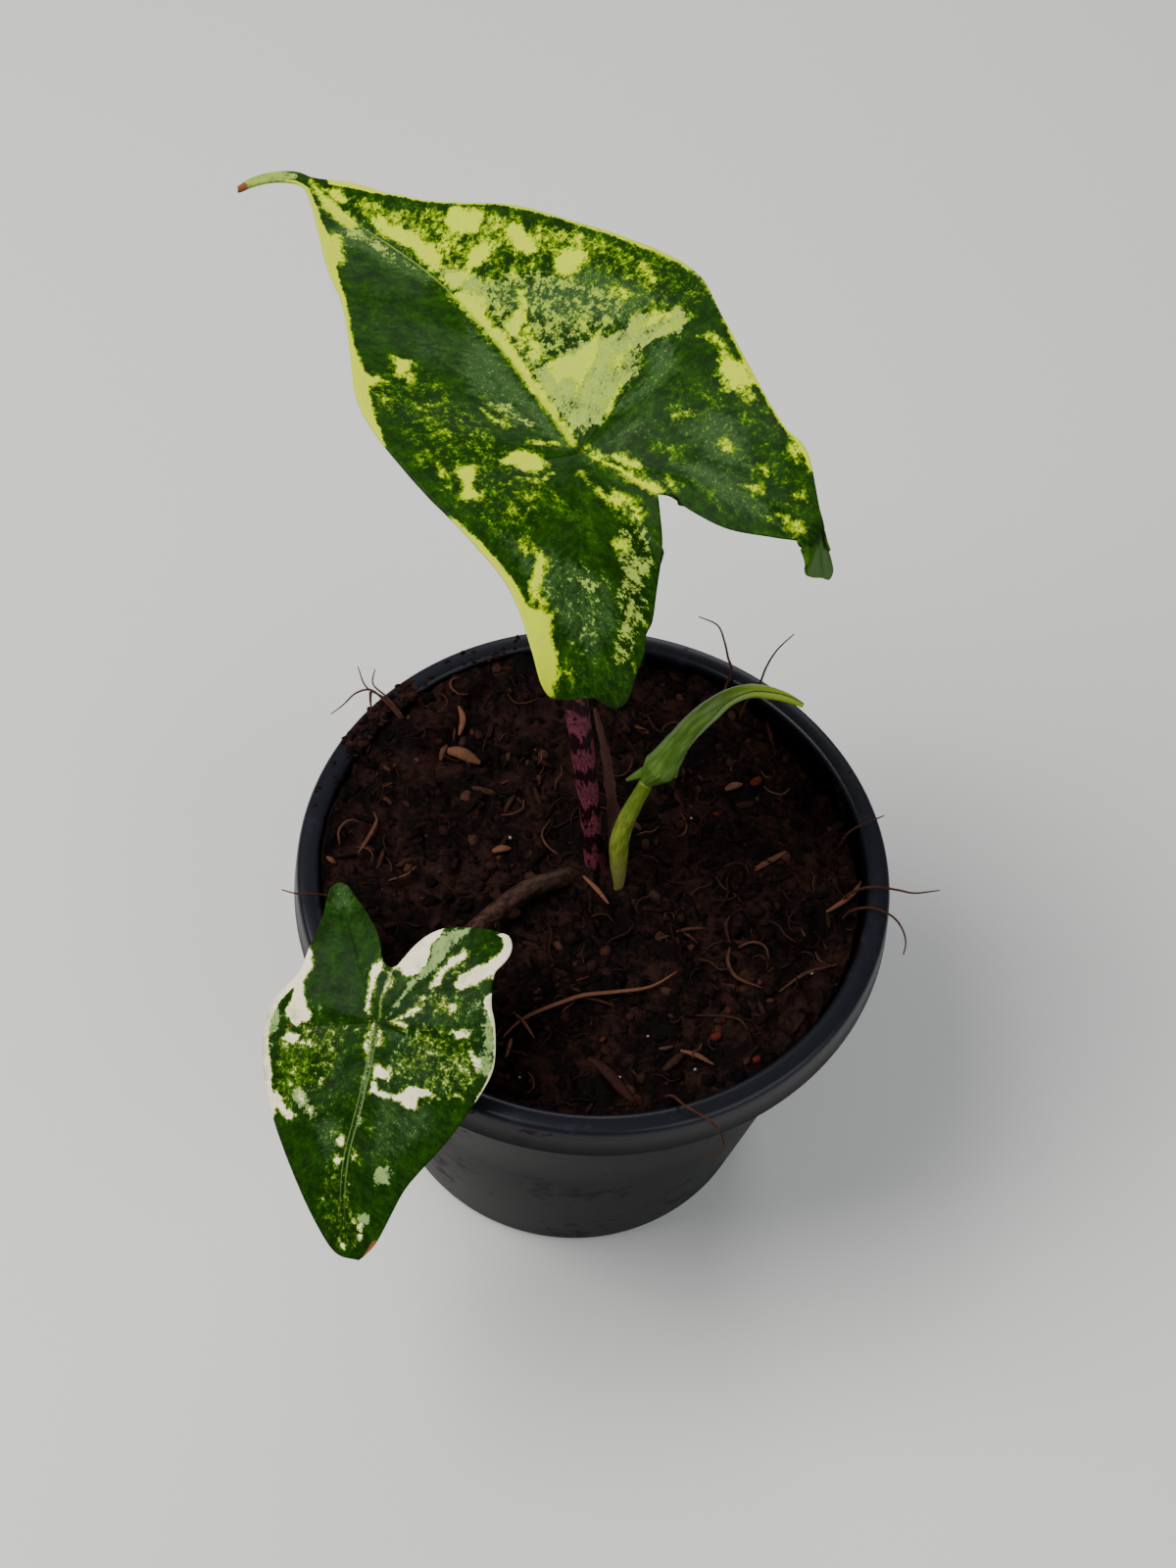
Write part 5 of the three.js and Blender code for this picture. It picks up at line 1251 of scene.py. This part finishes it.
def scatter(models, spots):
    """A copy of one of the models at every spot: model number, place, turn, tilt, size and tone."""
    for model in models:
        keep(model, "tone", np.zeros(len(model.data.vertices)))
    copies = []
    for which, place, turn, tilt, size, tone in spots:
        model = models[which % len(models)]
        copy = model.copy()
        copy.data = model.data.copy()
        bpy.context.collection.objects.link(copy)
        turned = Matrix.Rotation(turn, 4, "Z") @ Matrix.Rotation(tilt, 4, "X")
        turned = turned @ Matrix.Rotation(tilt / 2, 4, "Y")
        copy.data.transform(Matrix.Translation(Vector(place) * MM) @ turned @ Matrix.Scale(size, 4))
        copy.data.attributes["tone"].data.foreach_set("value", [tone] * len(copy.data.vertices))
        copies.append(copy)
    for model in models:
        bpy.data.objects.remove(model)
    return copies


def clear_of_stalks(x, y):
    feet = [(0.1, 3.6), (-5, 0), (5.4, -1), (3.2, 5)] + [(px, py) for px, py, _ in SMALL_STEM["line"][3:]]
    return all(math.hypot(x - px, y - py) > 3.4 for px, py in feet)


def find_spots(dice, count, reach, models, sizes, tones, lift, tilt):
    """Spots spread over the soil and clear of the stalks, where few are large or light."""
    found = []
    while len(found) < count:
        radius, angle = reach * math.sqrt(dice.random()), TURN * dice.random()
        x, y = radius * math.cos(angle), radius * math.sin(angle)
        if clear_of_stalks(x, y):
            size = sizes[0] + (sizes[1] - sizes[0]) * dice.random() ** 2
            tone = tones[0] + (tones[1] - tones[0]) * dice.random() ** 2
            height = float(soil_height(x, y) + clumps(x, y)) + lift * size
            found.append((dice.randrange(models), (x, y, height), TURN * dice.random(),
                          dice.uniform(-tilt, tilt), size, tone))
    return found


def spilled_spots(dice, count):
    """Spots on top of the lip at the back left, most of them crowded where the soil is heaped."""
    found = []
    for _ in range(count):
        crowded = dice.random() < 0.7
        angle = math.radians(dice.uniform(137, 158) if crowded else dice.uniform(100, 176))
        radius, size = dice.uniform(54.8, 59.2), dice.uniform(0.3, 1 if crowded else 0.55)
        crumb = (radius * math.cos(angle), radius * math.sin(angle), POT_HEIGHT + 0.1)
        found.append((dice.randrange(3), crumb, TURN * dice.random(), 0.4, size, dice.uniform(0.05, 0.5)))
    return found


def build_strands():
    """The slivers that lie on the soil, and the fibres that reach over the lip."""
    strands = []
    for line, half, lift, tone in STRANDS:
        x, y = np.array(line, float).T
        height = soil_height(x, y) + 0.5 + lift
        height[0] -= lift
        height[-1] -= lift * 0.7
        section = round_section([half * share for share in (0.5, 0.95, 1.1, 0.9, 0.35)])

        def flattened(u, a, section=section):
            across, above = section(u, a)
            return across, above * 0.55

        strand = sweep("strand", np.stack([x, y, height], 1), 20, 8, flattened)
        keep(strand, "tone", np.full(len(strand.data.vertices), tone))
        strands.append(strand)
    for line in LONG_FIBRES:
        fibre = sweep("long_fibre", line, 40, 6, round_section((0.36, 0.3, 0.27, 0.2, 0.12)))
        keep(fibre, "tone", np.full(len(fibre.data.vertices), 0.6))
        strands.append(fibre)
    return strands


def soil_finish(name, toned):
    """Damp coir and bark, from nearly black over brown to tan, and past that red and white.

    A toned piece keeps a tone at each point. The ground has none, and gets patches instead."""
    finish = Finish(name, Specular_IOR_Level=0.05)
    place = finish.object_place()
    grain = finish.noise(place, 700, 5, 0.7)
    patch = finish.noise(place, 120, 4, 0.6)
    if toned:
        tone = finish.attribute("tone", "Fac") + (grain - 0.5) * 0.4
    else:
        tone = finish.smooth(patch + (grain - 0.5) * 0.8, 0.3, 0.8) * 0.45
    skin = finish.mix(finish.smooth(tone, 0, 0.45), tint(7, 3, 3), tint(38, 21, 17))
    skin = finish.mix(finish.smooth(tone, 0.4, 1), skin, tint(98, 64, 47))
    skin = finish.mix(finish.smooth(tone, 1.3, 1.6), skin, tint(72, 26, 18))
    skin = finish.mix(finish.smooth(tone, 1.9, 2.1), skin, tint(132, 118, 118))
    finish.set(Base_Color=skin)
    finish.set(Roughness=0.75 + (patch - 0.5) * 0.4)
    finish.set(Normal=finish.relief(grain + patch * 0.5, 0.9, 0.5))
    return finish


def build_soil():
    dice = random.Random(7)
    ground = build_ground()
    finish_piece(ground, "soil", (soil_finish("damp_soil", False),), "soil")
    loose = find_spots(dice, count=950, reach=54, models=5, sizes=(0.45, 1.7), tones=(0.02, 0.6),
                       lift=0.1, tilt=0.9)
    for x, y, size in RED_BITS:
        loose.append((1, (x, y, float(soil_height(x, y)) + 0.6), dice.random(), 0.2, size, RED_TONE))
    for x, y, size in WHITE_BITS:
        loose.append((0, (x, y, float(soil_height(x, y)) + 0.9), dice.random(), 0.2, size, WHITE_TONE))
    loose += spilled_spots(dice, 230)
    bits = join("soil_bits", scatter(bit_models(), loose))
    smooth_shade(bits)
    curls = find_spots(dice, count=300, reach=52, models=6, sizes=(0.4, 1.1), tones=(0.15, 0.75),
                       lift=0.5, tilt=0.35)
    fibres = join("soil_fibres", scatter(fibre_models(), curls) + build_strands())
    smooth_shade(fibres)
    finish = soil_finish("bark_and_coir", True)
    finish_piece(bits, "soil", (finish,))
    finish_piece(fibres, "soil", (finish,))


def finish_rootstock():
    """The buried base keeps its solid, and gets a corky skin."""
    corky = Finish("corky_rootstock", Specular_IOR_Level=0.2, Roughness=0.85)
    cork = corky.noise(corky.object_place(), 300, 5, 0.7)
    corky.set(Base_Color=corky.mix(corky.smooth(cork, 0.35, 0.65), tint(58, 40, 28), tint(112, 84, 60)))
    corky.set(Normal=corky.relief(cork, 0.6, 0.4))
    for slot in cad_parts["rootstock"].material_slots:
        slot.material = corky.material


# Stage

def build_stage():
    bpy.ops.object.select_all(action="DESELECT")
    bpy.ops.mesh.primitive_plane_add(size=6)
    floor = bpy.context.object
    floor.name = "floor"
    paper = Finish("pale_floor", Roughness=0.7, Specular_IOR_Level=0.2)
    tone = paper.noise(paper.object_place(), 3, 2, 0.5)
    paper.set(Base_Color=paper.mix(tone, tint(214, 214, 212), tint(222, 222, 220)))
    floor.data.materials.append(paper.material)
    add_light("key_light", (-0.55, -0.1, 0.95), size=0.6, power=15, colour=(1, 0.98, 0.95))
    add_light("fill_light", (0.7, -0.5, 0.7), size=0.9, power=5, colour=(0.95, 0.97, 1))
    add_light("back_light", (0.1, 1, 0.6), size=0.5, power=3, colour=(1, 1, 1))
    world = bpy.context.scene.world or bpy.data.worlds.new("studio")
    bpy.context.scene.world = world
    world.use_nodes = True
    backdrop = world.node_tree.nodes["Background"]
    backdrop.inputs["Color"].default_value = (0.8, 0.82, 0.85, 1)
    backdrop.inputs["Strength"].default_value = 0.25


make_camera()
build_stage()
build_leaves()
build_large_stalk()
build_small_stalk()
build_new_stalk()
build_new_leaf()
build_sheath()
build_pot()
build_soil()
finish_rootstock()
